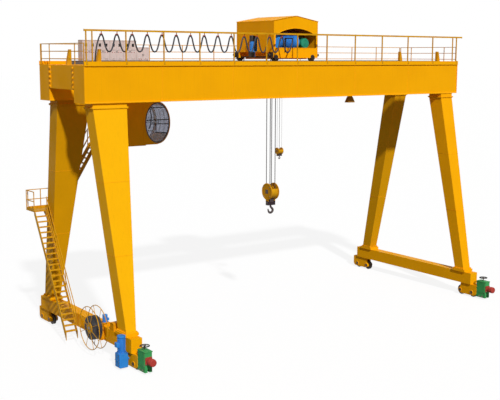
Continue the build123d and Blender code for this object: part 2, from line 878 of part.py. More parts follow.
# Front railing: tall posts that carry the festoon's rail
walk_start = girder_left + post_inset
post_count = round((girder_right - girder_left - 2 * post_inset) / post_pitch) + 1
rail_start = girder_left + post_bar
rail_end = girder_right + festoon_rail_overhang
with BuildPart() as front_railing:
    for i in range(post_count):
        x = walk_start + (girder_right - girder_left - 2 * post_inset) * i / (post_count - 1)
        bar(
            around(x, post_bar / 2),
            (-girder_outer, -girder_outer + post_bar),
            (girder_top, girder_top + festoon_rail_height - festoon_rail_depth / 2),
        )
    bar(
        (rail_start, rail_end),
        (-girder_outer, -girder_outer + festoon_rail_width),
        around(girder_top + festoon_rail_height, festoon_rail_depth / 2),
    )
save(front_railing, "front_railing")

# Rear railing, with a handrail and two lower rails
walk_heights = [walk_rail_height - walk_rail_pitch * i for i in range(3)]
with BuildPart() as rear_railing:
    rear_plane = facing_front(rail_start, girder_outer, girder_top)
    railing_panel(rear_plane, girder_right - post_bar - rail_start, walk_heights, post_count, walk_rail_bar)
save(rear_railing, "rear_railing")

# End railings across both ends, from one girder to the other
end_rail_half = girder_outer - 2 * post_bar
with BuildPart() as end_railings:
    for x in (rail_start, girder_right - post_bar - walk_rail_bar):
        across_plane = facing_right(x, -end_rail_half, girder_top)
        railing_panel(across_plane, 2 * end_rail_half, walk_heights, 2, walk_rail_bar)
        for y in around(0, girder_inner + walk_rail_bar):
            post_z = (girder_top, girder_top + walk_rail_height)
            bar((x, x + walk_rail_bar), around(y, walk_rail_bar / 2), post_z)
save(end_railings, "end_railings")

# Control cabinets in a row on the rear girder, the last one low
cabinet_back = girder_outer - cabinet_back_gap
with BuildPart() as control_cabinets:
    for i in range(cabinets_tall + 1):
        x = cabinet_start + i * (cabinet_width + cabinet_gap)
        height = cabinet_height if i < cabinets_tall else low_cabinet_height
        cabinet_y = (cabinet_back - cabinet_depth, cabinet_back)
        bar((x, x + cabinet_width), cabinet_y, (girder_top, girder_top + height))
save(control_cabinets, "control_cabinets")

# Floodlight under the front girder: a bracket and a lamp that widens downwards
with BuildPart() as floodlight:
    bar(
        around(lamp_x, lamp_width / 4),
        around(-girder_mid, lamp_depth / 4),
        (girder_bottom - lamp_bracket, girder_bottom),
    )
    for z, share in ((girder_bottom - lamp_bracket, 0.6), (girder_bottom - lamp_bracket - lamp_height, 1)):
        with BuildSketch(Plane.XY.offset(z)):
            with Locations((lamp_x, -girder_mid)):
                Rectangle(lamp_width * share, lamp_depth * share)
    loft(ruled=True)
save(floodlight, "floodlight")

# Festoon cable: up from the walkway, then in even hanging loops to the trolley's tow arm
loop_shape = ((0.10, 0), (0.21, -0.5), (0.37, -0.96), (0.63, -0.96), (0.79, -0.5), (0.90, 0))
tow_arm_under = festoon_top - 2 * festoon_cable_radius
festoon_points = [(festoon_start, girder_top)]
festoon_points.append((festoon_start, festoon_top - festoon_depth))
festoon_points.append((festoon_first_top - festoon_loop / 10, festoon_top))
for i in range(festoon_loops):
    for share_x, share_z in loop_shape[: 5 if i == festoon_loops - 1 else 6]:
        x = festoon_first_top + festoon_loop * (i + share_x)
        festoon_points.append((x, festoon_top + festoon_depth * share_z))
tow_x = festoon_first_top + festoon_loop * (festoon_loops - 0.1)
festoon_points.append((tow_x, tow_arm_under - festoon_depth / 4))
festoon_points.append((tow_x, tow_arm_under))
with BuildPart() as festoon_cable:
    with BuildLine(facing_front(0, -festoon_line, 0)) as cable_path:
        FilletPolyline(*festoon_points, radius=festoon_bend)
    with BuildSketch(Plane(origin=cable_path.line @ 0, z_dir=cable_path.line % 0)):
        Circle(festoon_cable_radius)
    sweep()
save(festoon_cable, "festoon_cable")

# Trolley frame: two carriages with wheel pockets, cross beams, a slotted deck, buffers and a tow arm
axle_z = rail_top + trolley_wheel_radius + running_gap
carriage_left = trolley_left - carriage_overhang
with BuildPart() as trolley_frame:
    for side in (-1, 1):
        carriage_y = around(side * rail_line, carriage_width / 2)
        bar((carriage_left, trolley_right), carriage_y, (carriage_bottom, deck_bottom))
    bar((trolley_left, trolley_right), around(0, hood_side), (deck_bottom, deck_top))
    for x in (left_cross_beam, right_cross_beam):
        beam_y = around(0, rail_line - carriage_width / 2)
        bar(around(x, cross_beam_width / 2), beam_y, (deck_bottom - cross_beam_depth, deck_bottom))
    for x in (trolley_left_axle, trolley_right_axle):
        for side in (-1, 1):
            bar(
                around(x, trolley_flange_radius + wheel_rim_gap),
                around(side * rail_line, pocket_half_width),
                (carriage_bottom, axle_z + trolley_flange_radius + running_gap + wheel_side_gap),
                mode=Mode.SUBTRACT,
            )
        bore_start = (x, -hood_side, axle_z)
        rod(bore_start, (0, 1, 0), axle_radius + running_gap, 2 * hood_side, mode=Mode.SUBTRACT)
    for x, rope_x, rope_y in ((main_x, main_rope_x, main_rope_y), (aux_x, aux_rope_x, aux_rope_y)):
        slot_x = around(x, rope_x + rope_slot_margin)
        bar(slot_x, around(0, rope_y + rope_slot_margin), (deck_bottom, deck_top), mode=Mode.SUBTRACT)
    for x, direction in ((carriage_left, -1), (trolley_right, 1)):
        for side in (-1, 1):
            start_point = (x, side * rail_line, (carriage_bottom + deck_bottom) / 2)
            rod(start_point, (direction, 0, 0), trolley_buffer_radius, trolley_buffer_length)
    arm_x = around(tow_x, tow_arm_bar / 2)
    bar(arm_x, (-hood_side - tow_arm_bar, -hood_side), (deck_bottom, tow_arm_under + tow_arm_bar))
    bar(arm_x, (-festoon_line - tow_arm_bar / 2, -hood_side), (tow_arm_under, tow_arm_under + tow_arm_bar))
save(trolley_frame, "trolley_frame")

# Trolley hood: a thin gabled cover, open below, with an arched front and a slot in its left end
hood_mid = (trolley_left + trolley_right) / 2


def gable(inset):
    """The hood seen from the front: upright ends and a low ridge."""
    Polygon(
        (trolley_left + inset, deck_top),
        (trolley_right - inset, deck_top),
        (trolley_right - inset, hood_eave - inset),
        (hood_mid, hood_ridge - inset),
        (trolley_left + inset, hood_eave - inset),
        align=None,
    )


with BuildPart() as trolley_hood:
    with BuildSketch(facing_front(0, hood_side, 0)):
        gable(0)
    extrude(amount=2 * hood_side)
    with BuildSketch(facing_front(0, hood_side - hood_wall, 0)):
        gable(hood_wall)
    extrude(amount=2 * (hood_side - hood_wall), mode=Mode.SUBTRACT)
    arch_half = (trolley_right - trolley_left) / 2 - hood_post
    with BuildSketch(facing_front(hood_mid, hood_wall - hood_side, hood_spring)):
        sill_drop = hood_sill - hood_spring
        with BuildLine():
            Polyline((-arch_half, 0), (-arch_half, sill_drop), (arch_half, sill_drop), (arch_half, 0))
            ThreePointArc((-arch_half, 0), (0, hood_arch_rise), (arch_half, 0))
        make_face()
    extrude(amount=hood_wall, mode=Mode.SUBTRACT)
    slot_x = (trolley_left, trolley_left + hood_wall)
    slot_z = (deck_top, deck_top + hood_slot_height)
    bar(slot_x, (hood_slot_start, hood_slot_end), slot_z, mode=Mode.SUBTRACT)
save(trolley_hood, "trolley_hood")

# Main winch on the deck: a motor across the front, a gearbox at its left end, and the rope drum
main_drum_radius = main_rope_y - main_rope_radius
gearbox_x = (winch_motor_left - winch_gearbox_width, winch_motor_left)
with BuildPart() as main_winch:
    motor_at = (winch_motor_left, winch_motor_y, winch_motor_axis)
    rod(motor_at, (1, 0, 0), winch_motor_radius, winch_motor_right - winch_motor_left)
    foot_x = (winch_motor_left, winch_motor_right - winch_foot)
    bar(foot_x, around(winch_motor_y, winch_foot / 2), (deck_top, winch_motor_axis))
    gearbox_y = (winch_motor_y - winch_gearbox_reach, winch_gearbox_reach)
    bar(gearbox_x, gearbox_y, (deck_top, deck_top + winch_gearbox_height))
    drum_at = (winch_motor_left, 0, main_drum_axis)
    rod(drum_at, (1, 0, 0), main_drum_radius - running_gap, main_drum_right - winch_motor_left)
    stand_x = (main_drum_right, main_drum_right + drum_stand)
    bar(stand_x, around(0, main_drum_radius), (deck_top, main_drum_axis + main_drum_radius))
save(main_winch, "main_winch")

# Auxiliary winch: a motor that faces the front, its gearbox, and a smaller rope drum
aux_drum_radius = aux_rope_y - aux_rope_radius
with BuildPart() as aux_winch:
    motor_at = (aux_motor_x, aux_motor_front, aux_motor_axis)
    rod(motor_at, (0, 1, 0), aux_motor_radius, aux_motor_back - aux_motor_front)
    foot_y = (aux_motor_front + winch_foot / 2, aux_motor_back)
    bar(around(aux_motor_x, winch_foot / 2), foot_y, (deck_top, aux_motor_axis))
    box_x = (aux_drum_right, aux_motor_x + aux_motor_radius)
    bar(box_x, (aux_motor_back, aux_gearbox_back), (deck_top, deck_top + aux_gearbox_height))
    drum_at = (aux_drum_left, 0, aux_drum_axis)
    rod(drum_at, (1, 0, 0), aux_drum_radius - running_gap, aux_drum_right - aux_drum_left)
    stand_x = (aux_drum_left - drum_stand / 2, aux_drum_left)
    bar(stand_x, around(0, aux_drum_radius), (deck_top, aux_drum_axis + aux_drum_radius))
save(aux_winch, "aux_winch")

# Trolley travel drive: an upright motor on a gearbox, bolted to the deck's left end
with BuildPart() as trolley_drive:
    box_x = (trolley_left - crab_gearbox, trolley_left)
    bar(box_x, around(crab_motor_y, crab_gearbox / 2), (carriage_bottom + crab_gearbox_clearance, deck_top))
    motor_at = (trolley_left - crab_gearbox / 2, crab_motor_y, deck_top)
    rod(motor_at, (0, 0, 1), crab_motor_radius, crab_motor_height)
save(trolley_drive, "trolley_drive")

# Trolley wheelsets: two flanged wheels on one axle, which runs through both carriages
cap_at = hood_side + running_gap
wheelset_outline = (
    list(reversed(axle_end(-cap_at, -1)))
    + wheel_section(-rail_line, trolley_wheel_radius, trolley_flange_radius)
    + wheel_section(rail_line, trolley_wheel_radius, trolley_flange_radius)
    + axle_end(cap_at, 1)
)
for end_name, x in (("left", trolley_left_axle), ("right", trolley_right_axle)):
    wheelset = turned(facing_right(x, 0, axle_z), (0, 1, 0), wheelset_outline)
    save(wheelset, f"{end_name}_trolley_wheelset")


def rope_falls(x, rope_x, rope_y, radius, low, high):
    """Four straight rope falls between a hook block's sheaves and its drum."""
    with BuildPart() as falls:
        for fall_x in around(x, rope_x):
            for fall_y in (-rope_y, rope_y):
                rod((fall_x, fall_y, low), (0, 0, 1), radius, high - low)
    return falls


def hook_block(x, axis, radius, length, cheek, rope, sheave, crosshead, strap, shank):
    """A two-sheave hook block: cheeks, grooved sheaves on a pin, straps, and a crosshead for the hook."""
    rope_x, rope_y, rope_radius = rope
    sheave_width, sheave_flange = sheave
    top, depth = crosshead
    groove = rope_y - rope_radius - running_gap
    rim = groove + sheave_flange
    half = length / 2
    outline = [(-half, 0), (-half, radius), (-half + cheek, radius), (-half + cheek, groove / 2)]
    for centre in (-rope_x, rope_x):
        outline += [
            (centre - sheave_width / 2, groove / 2),
            (centre - sheave_width / 2, rim),
            (centre - 2 * rope_radius, rim),
            (centre - 2 * rope_radius, groove),
            (centre + 2 * rope_radius, groove),
            (centre + 2 * rope_radius, rim),
            (centre + sheave_width / 2, rim),
            (centre + sheave_width / 2, groove / 2),
        ]
    outline += [(half - cheek, groove / 2), (half - cheek, radius), (half, radius), (half, 0)]
    with BuildPart() as block:
        with BuildSketch(facing_front(x, 0, axis)):
            Polygon(*outline, align=None)
        revolve(axis=Axis((x, 0, axis), (1, 0, 0)))
        for cheek_x in around(x, half - cheek / 2):
            bar(around(cheek_x, cheek / 2), around(0, strap), (top - depth, axis))
        bar(around(x, half - cheek), around(0, strap), (top - depth, top))
        rod((x, 0, top - depth), (0, 0, 1), shank + running_gap, depth, mode=Mode.SUBTRACT)
    return block


def hook(x, bottom, bowl, section, crosshead, shank):
    """A shank hook: a nut over the crosshead, the shank, and a round bar bent into the bowl."""
    top, depth = crosshead
    bowl_z = bottom + section + bowl
    neck_z = top - depth - section
    with BuildPart() as bent:
        with BuildLine(facing_front(x, 0, 0)) as path:
            stem = Line((0, top - depth), (0, neck_z))
            sway = TangentArc(stem @ 1, (bowl / 2, (neck_z + bowl_z) / 2), tangent=stem % 1)
            TangentArc(sway @ 1, (bowl, bowl_z), tangent=sway % 1)
            ThreePointArc((bowl, bowl_z), (0, bowl_z - bowl), (-bowl, bowl_z))
            Line((-bowl, bowl_z), (-0.8 * bowl, bowl_z + 0.45 * bowl))
        with BuildSketch(Plane(origin=path.line @ 0, z_dir=path.line % 0)):
            Circle(section)
        sweep(transition=Transition.ROUND)
        rod((x, 0, neck_z), (0, 0, 1), shank, top + running_gap - neck_z)
        rod((x, 0, top + running_gap), (0, 0, 1), 1.7 * shank, 1.2 * shank)
    return bent


# Main hoist: rope falls, hook block and hook
main_rope = (main_rope_x, main_rope_y, main_rope_radius)
main_crosshead = (main_crosshead_top, main_crosshead_depth)
save(rope_falls(main_x, *main_rope, main_axis, main_drum_axis), "main_ropes")
main_sheave = (main_sheave_width, main_sheave_flange)
main_sizes = (main_block_radius, main_block_length, main_cheek)
main_block = hook_block(
    main_x, main_axis, *main_sizes, main_rope, main_sheave, main_crosshead, main_strap, main_shank_radius
)
save(main_block, "main_hook_block")
main_hook = hook(main_x, main_hook_bottom, main_hook_bowl, main_hook_bar, main_crosshead, main_shank_radius)
save(main_hook, "main_hook")

# Auxiliary hoist: rope falls, hook block and hook
aux_rope = (aux_rope_x, aux_rope_y, aux_rope_radius)
aux_crosshead = (aux_crosshead_top, aux_crosshead_depth)
save(rope_falls(aux_x, *aux_rope, aux_axis, aux_drum_axis), "aux_ropes")
aux_sheave = (aux_sheave_width, aux_sheave_flange)
aux_sizes = (aux_block_radius, aux_block_length, aux_cheek)
aux_block = hook_block(
    aux_x, aux_axis, *aux_sizes, aux_rope, aux_sheave, aux_crosshead, aux_strap, aux_shank_radius
)
save(aux_block, "aux_hook_block")
aux_hook = hook(aux_x, aux_hook_bottom, aux_hook_bowl, aux_hook_bar, aux_crosshead, aux_shank_radius)
save(aux_hook, "aux_hook")
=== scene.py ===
import math

import bmesh
import bpy
from mathutils import Matrix, Vector


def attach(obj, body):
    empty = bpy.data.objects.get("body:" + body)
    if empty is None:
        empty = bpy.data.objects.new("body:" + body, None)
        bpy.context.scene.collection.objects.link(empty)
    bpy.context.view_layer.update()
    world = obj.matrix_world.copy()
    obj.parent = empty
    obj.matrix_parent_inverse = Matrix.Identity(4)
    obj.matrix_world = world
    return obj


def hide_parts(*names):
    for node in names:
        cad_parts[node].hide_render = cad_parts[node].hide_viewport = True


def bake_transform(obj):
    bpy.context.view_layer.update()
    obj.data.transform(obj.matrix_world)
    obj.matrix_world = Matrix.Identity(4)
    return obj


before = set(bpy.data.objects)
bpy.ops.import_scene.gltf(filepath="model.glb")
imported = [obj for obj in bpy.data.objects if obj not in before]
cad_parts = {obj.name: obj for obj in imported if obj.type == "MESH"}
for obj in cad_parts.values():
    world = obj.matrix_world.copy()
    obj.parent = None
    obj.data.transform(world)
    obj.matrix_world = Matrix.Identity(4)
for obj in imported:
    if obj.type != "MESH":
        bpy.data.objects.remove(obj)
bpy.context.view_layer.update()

# Directions along the girders, across them and up, and the signs of the two sides and ends.
ALONG, ACROSS, UP = (1, 0, 0), (0, 1, 0), (0, 0, 1)
BOTH = (-1, 1)
ENDS = (("left", -1), ("right", 1))

# Sill beams and bogies
# Welded steel boxes that stand on the ground rails, sprayed with yellow enamel.
# Each bogie is two cheek plates under a top plate, cut back so that the inner wheel shows past its nose.


def linear(code):
    """An sRGB hex colour as linear red, green, blue and alpha."""
    shares = [int(code[i:i + 2], 16) / 255 for i in (1, 3, 5)]
    return [s / 12.92 if s <= 0.04045 else ((s + 0.055) / 1.055) ** 2.4 for s in shares] + [1]


def add(tree, kind, settings, links):
    """One node, with its properties and socket values set and its sockets fed from other nodes."""
    node = tree.nodes.new(kind)
    for key, value in settings.items():
        if key in node.inputs.keys():
            node.inputs[key].default_value = value
        else:
            setattr(node, key, value)
    for socket, source in links.items():
        tree.links.new(source, node.inputs[socket])
    return node


def mix(tree, share, one, other):
    """Two colours mixed by a share; each is a hex code or comes from another node."""
    node = add(tree, "ShaderNodeMixRGB", {}, {"Fac": share})
    for socket, colour in (("Color1", one), ("Color2", other)):
        if isinstance(colour, str):
            node.inputs[socket].default_value = linear(colour)
        else:
            tree.links.new(colour, node.inputs[socket])
    return node.outputs["Color"]


def span(tree, value, start, stop, low, high):
    """A value between two limits, stretched to run from low to high."""
    limits = {"From Min": start, "From Max": stop, "To Min": low, "To Max": high}
    return add(tree, "ShaderNodeMapRange", limits, {"Value": value}).outputs["Result"]


def noise(tree, place, size_mm, detail):
    """Soft blotches of about a real size."""
    settings = {"Scale": 1000 / size_mm, "Detail": detail}
    return add(tree, "ShaderNodeTexNoise", settings, {"Vector": place}).outputs["Fac"]


def bump(tree, height, strength, depth, under=None):
    """A skin that rises and falls with a pattern, over another skin where one is given."""
    links = {"Height": height}
    if under:
        links["Normal"] = under
    return add(tree, "ShaderNodeBump", {"Strength": strength, "Distance": depth}, links).outputs["Normal"]


def bare(name):
    """A new material, with its node tree, its shader's sockets, and places measured on the object."""
    material = bpy.data.materials.new(name)
    material.use_nodes = True
    tree = material.node_tree
    place = add(tree, "ShaderNodeTexCoord", {}, {}).outputs["Object"]
    return material, tree, tree.nodes["Principled BSDF"].inputs, place


def feed(tree, sockets, values):
    """Set sockets, each to a fixed value or to what another node gives."""
    for socket, value in values.items():
        if isinstance(value, bpy.types.NodeSocket):
            tree.links.new(value, sockets[socket])
        else:
            sockets[socket].default_value = value


def enamel(name, fresh, weathered, grime, gloss, sheet_mm):
    """Sprayed enamel on steel plate: slow drift in colour, rain streaks, and plates that wave a little.

    The eye sees broad soft highlights, faint vertical streaks, and edges rubbed a little paler, a pale line
    that also paints a highlight along each edge."""
    material, tree, sockets, place = bare(name)
    drift = noise(tree, place, sheet_mm, 4)
    paint = mix(tree, span(tree, drift, 0.35, 0.7, 0, 0.75), fresh, weathered)
    # Rain streaks are about 60 mm wide and run down for a metre and a half.
    tall = add(tree, "ShaderNodeMapping", {"Scale": (1000 / 60, 1000 / 60, 1000 / 1500)}, {"Vector": place})
    rain = noise(tree, tall.outputs["Vector"], 1000, 3)
    streaked = mix(tree, span(tree, rain, 0.52, 0.8, 0, 0.14), paint, grime)
    # Edges are rubbed over about 15 mm: where the rounded normal leaves the flat one, the paint is paler, as
    # rubbed wear and as a painted highlight along the edge.
    rounded = add(tree, "ShaderNodeBevel", {"samples": 3, "Radius": 0.015}, {}).outputs["Normal"]
    flat = add(tree, "ShaderNodeNewGeometry", {}, {}).outputs["True Normal"]
    turn = add(tree, "ShaderNodeVectorMath", {"operation": "DISTANCE"}, {0: rounded, 1: flat})
    rubbed_edge_and_highlight = span(tree, turn.outputs["Value"], 0.12, 0.7, 0, 0.1)
    # Orange peel is under 1 mm on the real paint and is drawn at 12 mm so that it shows.
    skin = bump(tree, noise(tree, place, 12, 2), 0.12, 0.002)
    look = {
        "Base Color": mix(tree, rubbed_edge_and_highlight, streaked, "#FFD468"),
        "Roughness": span(tree, drift, 0.3, 0.75, gloss, gloss + 0.16),
        "Normal": bump(tree, drift, 0.25, 0.02, skin),
        "Specular IOR Level": 0.05,
    }
    feed(tree, sockets, look)
    return material


def dress(material, *nodes):
    """Give carried-over solids their finish."""
    for node in nodes:
        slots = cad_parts[node].data.materials
        slots.clear()
        slots.append(material)


def piece(bm, name, material, body="portal"):
    """Finish a mesh, shade it smooth up to its hard edges, and fix it to its body, if it has just one."""
    mesh = bpy.data.meshes.new(name)
    bmesh.ops.recalc_face_normals(bm, faces=bm.faces)
    bm.to_mesh(mesh)
    bm.free()
    mesh.polygons.foreach_set("use_smooth", [True] * len(mesh.polygons))
    mesh.set_sharp_from_angle(angle=math.radians(35))
    mesh.materials.append(material)
    made = bpy.data.objects.new(name, mesh)
    bpy.context.scene.collection.objects.link(made)
    if body:
        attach(made, body)
    return made


def lathe(bm, origin, axis, outline, sides=24, closed=False):
    """A turned form, from pairs of radius and distance along its axis."""
    axis = Vector(axis).normalized()
    across = axis.orthogonal().normalized()
    spokes = [Matrix.Rotation(math.tau * i / sides, 3, axis) @ across for i in range(sides)]
    rings = []
    for radius, along in outline:
        spot = Vector(origin) + axis * along
        if radius == 0:
            rings.append([bm.verts.new(spot)])
        else:
            rings.append([bm.verts.new(spot + spoke * radius) for spoke in spokes])
    if closed:
        rings.append(rings[0])
    for low, high in zip(rings, rings[1:]):
        for i in range(sides):
            j = (i + 1) % sides
            corners = (low[i % len(low)], low[j % len(low)], high[j % len(high)], high[i % len(high)])
            face = list(dict.fromkeys(corners))
            if len(face) > 2:
                bm.faces.new(face)


def bolts(bm, spots, axis, size):
    """Hex heads on round washers; the size is the head's radius."""
    for spot in spots:
        lathe(bm, spot, axis, ((1.4 * size, -0.2 * size), (1.4 * size, 0.25 * size), (0, 0.25 * size)), 12)
        head = ((size, 0.25 * size), (size, 1.0 * size), (0.85 * size, 1.15 * size), (0, 1.15 * size))
        lathe(bm, spot, axis, head, 6)


def circle(count, radius, start=0.0):
    """Even places round a circle, as distances across it; the start is a share of one step."""
    turns = [math.tau * (i + start) / count for i in range(count)]
    return [(radius * math.cos(t), radius * math.sin(t)) for t in turns]


def bolt_ring(bm, centre, axis, count, radius, size, start=0.0):
    """Bolts on a circle about an axis that lies along x, y or z."""
    sideways = [i for i in range(3) if not axis[i]]
    for shifts in circle(count, radius, start):
        spot = list(centre)
        for i, shift in zip(sideways, shifts):
            spot[i] += shift
        bolts(bm, [spot], axis, size)


yellow_enamel = enamel("yellow_enamel_on_plate", "#FFB204", "#F8AB04", "#C88A08", 0.42, 1600)
dress(yellow_enamel, "sill_beams", "left_bogies", "right_bogies")

# Zinc plate on fasteners: dull grey metal with darker spangle, drawn at 25 mm so that it shows.
zinc, zinc_tree, zinc_sockets, zinc_place = bare("zinc_plated_bolts")
spangle = add(zinc_tree, "ShaderNodeTexVoronoi", {"Scale": 1000 / 25}, {"Vector": zinc_place})
spangled = mix(zinc_tree, spangle.outputs["Distance"], "#8F8A80", "#6A655D")
feed(zinc_tree, zinc_sockets, {"Base Color": spangled, "Metallic": 0.7, "Roughness": 0.5})

END_X = 12
BOGIE_Y = 4.78
AXLE_Y = 0.4635
AXLE_Z = 0.3
BOGIE_HALF = 0.22
SILL_Z = 0.8
bearing_bore = ((0.095, -0.005), (0.095, 0.018), (0.1, 0.024))
bearing_ring = bearing_bore + ((0.138, 0.024), (0.145, 0.017), (0.145, -0.005))
rings = bmesh.new()
ring_bolts = bmesh.new()
for end in BOTH:
    for face in BOTH:
        hub_x = end * END_X + face * BOGIE_HALF
        for y in [side * BOGIE_Y + step * AXLE_Y for side in BOTH for step in BOTH]:
            lathe(rings, (hub_x, y, AXLE_Z), (face, 0, 0), bearing_ring, 32, closed=True)
            bolt_ring(ring_bolts, (hub_x + face * 0.024, y, AXLE_Z), (face, 0, 0), 6, 0.12, 0.011, 0.5)
piece(rings, "bearing_rings", yellow_enamel)


def block(bm, low, high, edge):
    """A plate or bar between any two opposite corners, with its edges broken."""
    middle = (Vector(low) + Vector(high)) / 2
    size = [abs(a - b) for a, b in zip(low, high)]
    made = bmesh.ops.create_cube(bm, size=1, matrix=Matrix.Translation(middle) @ Matrix.Diagonal((*size, 1)))
    rim = list({e for v in made["verts"] for e in v.link_edges})
    bmesh.ops.bevel(bm, geom=rim, offset=edge, segments=1, profile=0.5, affect="EDGES")


def slab(bm, outline, depth):
    """A flat plate cut to an outline and given its thickness along a direction."""
    near = [bm.verts.new(p) for p in outline]
    far = [bm.verts.new(Vector(p) + Vector(depth)) for p in outline]
    bm.faces.new(near)
    bm.faces.new(far[::-1])
    for i in range(len(near)):
        j = (i + 1) % len(near)
        bm.faces.new((near[i], far[i], far[j], near[j]))


def arc(centre, radius, start, stop, count):
    """Points on a circle in a plane, between two angles in degrees."""
    turns = [math.radians(start + (stop - start) * i / count) for i in range(count + 1)]
    return [(centre[0] + radius * math.cos(t), centre[1] + radius * math.sin(t)) for t in turns]


# A cheek's outline, measured outwards from the bogie's middle: a round nose at the inner axle, a cut up
# to each axle's bore, and a rounded outer corner.
BORE = 0.046
POCKET = 0.079
inner_axle, outer_axle = (-AXLE_Y, AXLE_Z), (AXLE_Y, AXLE_Z)
cheek_line = [(0.84, SILL_Z), (-0.42, SILL_Z), (-0.45, 0.5)] + arc(inner_axle, 0.15, 115, 270, 10)
cheek_line += arc(inner_axle, BORE, 270, -90, 20) + [(-AXLE_Y, 0.15), (-0.32, 0.12), (AXLE_Y, 0.12)]
cheek_line += arc(outer_axle, BORE, 270, -90, 20) + [(AXLE_Y, 0.12)] + arc((0.62, 0.34), 0.22, 270, 360, 8)
for end_name, end in ENDS:
    housings = bmesh.new()
    mid_x = end * END_X
    for side in BOTH:
        mid_y = side * BOGIE_Y
        for low_x in (mid_x - BOGIE_HALF, mid_x + POCKET):
            outline = [(low_x, mid_y + side * u, z) for u, z in cheek_line]
            slab(housings, outline, (BOGIE_HALF - POCKET, 0, 0))
        # Between the cheeks: the top plate, the plate between the wheels and the outer end plate.
        for inner, outer, low_z in ((-0.42, 0.84, 0.64), (-0.13, 0.13, 0.14), (0.8, 0.839, 0.36)):
            corner = (mid_x - 0.083, mid_y + side * inner, low_z)
            block(housings, corner, (mid_x + 0.083, mid_y + side * outer, 0.799), 0.004)
    made = piece(housings, f"{end_name}_bogie_housings", yellow_enamel)
    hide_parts(f"{end_name}_bogies")
piece(ring_bolts, "bearing_bolts", zinc)

# Travel wheels
# Cast steel wheels with two flanges, turned on the tread and left as cast elsewhere.
# Each turns with its axle, whose end cap is held by three bolts.

# Cast steel under a film of old oil: near black, with brown dust in patches and a pebbled skin.
cast_steel, cast_tree, cast_sockets, cast_place = bare("cast_steel_oiled")
dust = span(cast_tree, noise(cast_tree, cast_place, 180, 5), 0.45, 0.75, 0, 0.8)
cast_look = {
    "Base Color": mix(cast_tree, dust, "#1E1C1B", "#4A3B2C"),
    "Normal": bump(cast_tree, noise(cast_tree, cast_place, 9, 3), 0.4, 0.002),
    "Metallic": 0.45,
    "Roughness": 0.52,
}
feed(cast_tree, cast_sockets, cast_look)

for end_name, end in ENDS:
    for side_name, side in (("front", -1), ("rear", 1)):
        for place_name, step in (("outer", side), ("inner", -side)):
            wheel = f"{side_name}_{end_name}_{place_name}_wheel"
            dress(cast_steel, wheel)
            cap_bolts = bmesh.new()
            wheel_y = side * BOGIE_Y + step * AXLE_Y
            for face in BOTH:
                cap = (end * END_X + face * 0.25, wheel_y, AXLE_Z)
                bolt_ring(cap_bolts, cap, (face, 0, 0), 3, 0.048, 0.013)
            piece(cap_bolts, f"{wheel}_cap_bolts", zinc, wheel)

# Rail clamps, handwheels and buffers
# Green cast bodies bolted to the front bogie ends, with a cover plate on each side and a lidded top.
# A black handwheel works the screw, and a red rubber buffer stands on the front face.


def blotched(name, size_mm, detail, one, other, metal, rough):
    """A finish of two colours that run into each other in soft blotches of about a real size."""
    material, tree, sockets, place = bare(name)
    colour = mix(tree, noise(tree, place, size_mm, detail), one, other)
    feed(tree, sockets, {"Base Color": colour, "Metallic": metal, "Roughness": rough})
    return material


green_enamel = enamel("green_enamel_on_castings", "#48AA60", "#389454", "#256A3C", 0.36, 420)
dress(green_enamel, "rail_clamps")
dress(cast_steel, "left_handwheel", "right_handwheel")
# Moulded rubber: matt red, with a grey bloom in soft patches and no hard highlight.
rubber = blotched("red_moulded_rubber", 140, 4, "#B83024", "#A0382C", 0, 0.72)
dress(rubber, "buffers")
SCREW_Y = -5.96
NUT_Z = 1.37
BUFFER_Z = 0.7

lids = bmesh.new()
clamp_bolts = bmesh.new()
buffer_rings = bmesh.new()
for end_name, end in ENDS:
    x = end * END_X
    for face in BOTH:
        edge_x = x + face * 0.195
        root_x = edge_x - face * 0.004
        block(lids, (root_x, -6.322, 1.095), (edge_x + face * 0.024, -5.624, 1.15), 0.006)
        block(lids, (root_x, -6.26, 0.42), (edge_x + face * 0.014, -5.66, 1.085), 0.006)
        for y in (-6.225, -5.695):
            for z in (0.46, 0.75, 1.04):
                bolts(clamp_bolts, [(edge_x + face * 0.014, y, z)], (face, 0, 0), 0.014)
        for y in (-6.08, -5.84):
            bolts(clamp_bolts, [(edge_x, y, 0.21)], (face, 0, 0), 0.036)
    block(lids, (x - 0.215, -6.322, 1.095), (x + 0.215, -6.296, 1.15), 0.006)
    collar = ((0.034, 0), (0.034, 0.03), (0.04, 0.034), (0.068, 0.034), (0.078, 0))
    lathe(lids, (x, SCREW_Y, 1.146), UP, collar, 24)
    corners = [(x + i * 0.15, -6.34, BUFFER_Z + j * 0.15) for i in BOTH for j in BOTH]
    bolts(clamp_bolts, corners, (0, -1, 0), 0.017)
    for along in (0.28, 0.34, 0.40):
        ring = ((0.178, along), (0.187, along + 0.008), (0.187, along + 0.022), (0.178, along + 0.03))
        lathe(buffer_rings, (x, -6.3, BUFFER_Z), (0, -1, 0), ring, 48, closed=True)
    wheel_nut = bmesh.new()
    lathe(wheel_nut, (x, SCREW_Y, NUT_Z), UP, ((0.044, 0), (0.044, 0.008), (0, 0.008)), 20)
    hexagon = ((0.034, 0.006), (0.034, 0.03), (0.028, 0.036), (0, 0.036))
    lathe(wheel_nut, (x, SCREW_Y, NUT_Z), UP, hexagon, 6)
    thread = []
    for i in range(24):
        thread += [(0.0285, 0.98 + i * 0.006), (0.031, 0.983 + i * 0.006)]
    lathe(wheel_nut, (x, SCREW_Y, 0), UP, thread, 20)
    wheel = f"{end_name}_handwheel"
    piece(wheel_nut, f"{wheel}_nut", zinc, wheel)
piece(lids, "clamp_lids_and_covers", green_enamel)
piece(clamp_bolts, "clamp_bolts", zinc)
piece(buffer_rings, "buffer_rings", rubber)

# Travel drive
# A blue finned motor that stands on its gearbox beside the left front bogie.
# Bolted at its flange, with a vented cowl on top and a terminal box on its outer side.


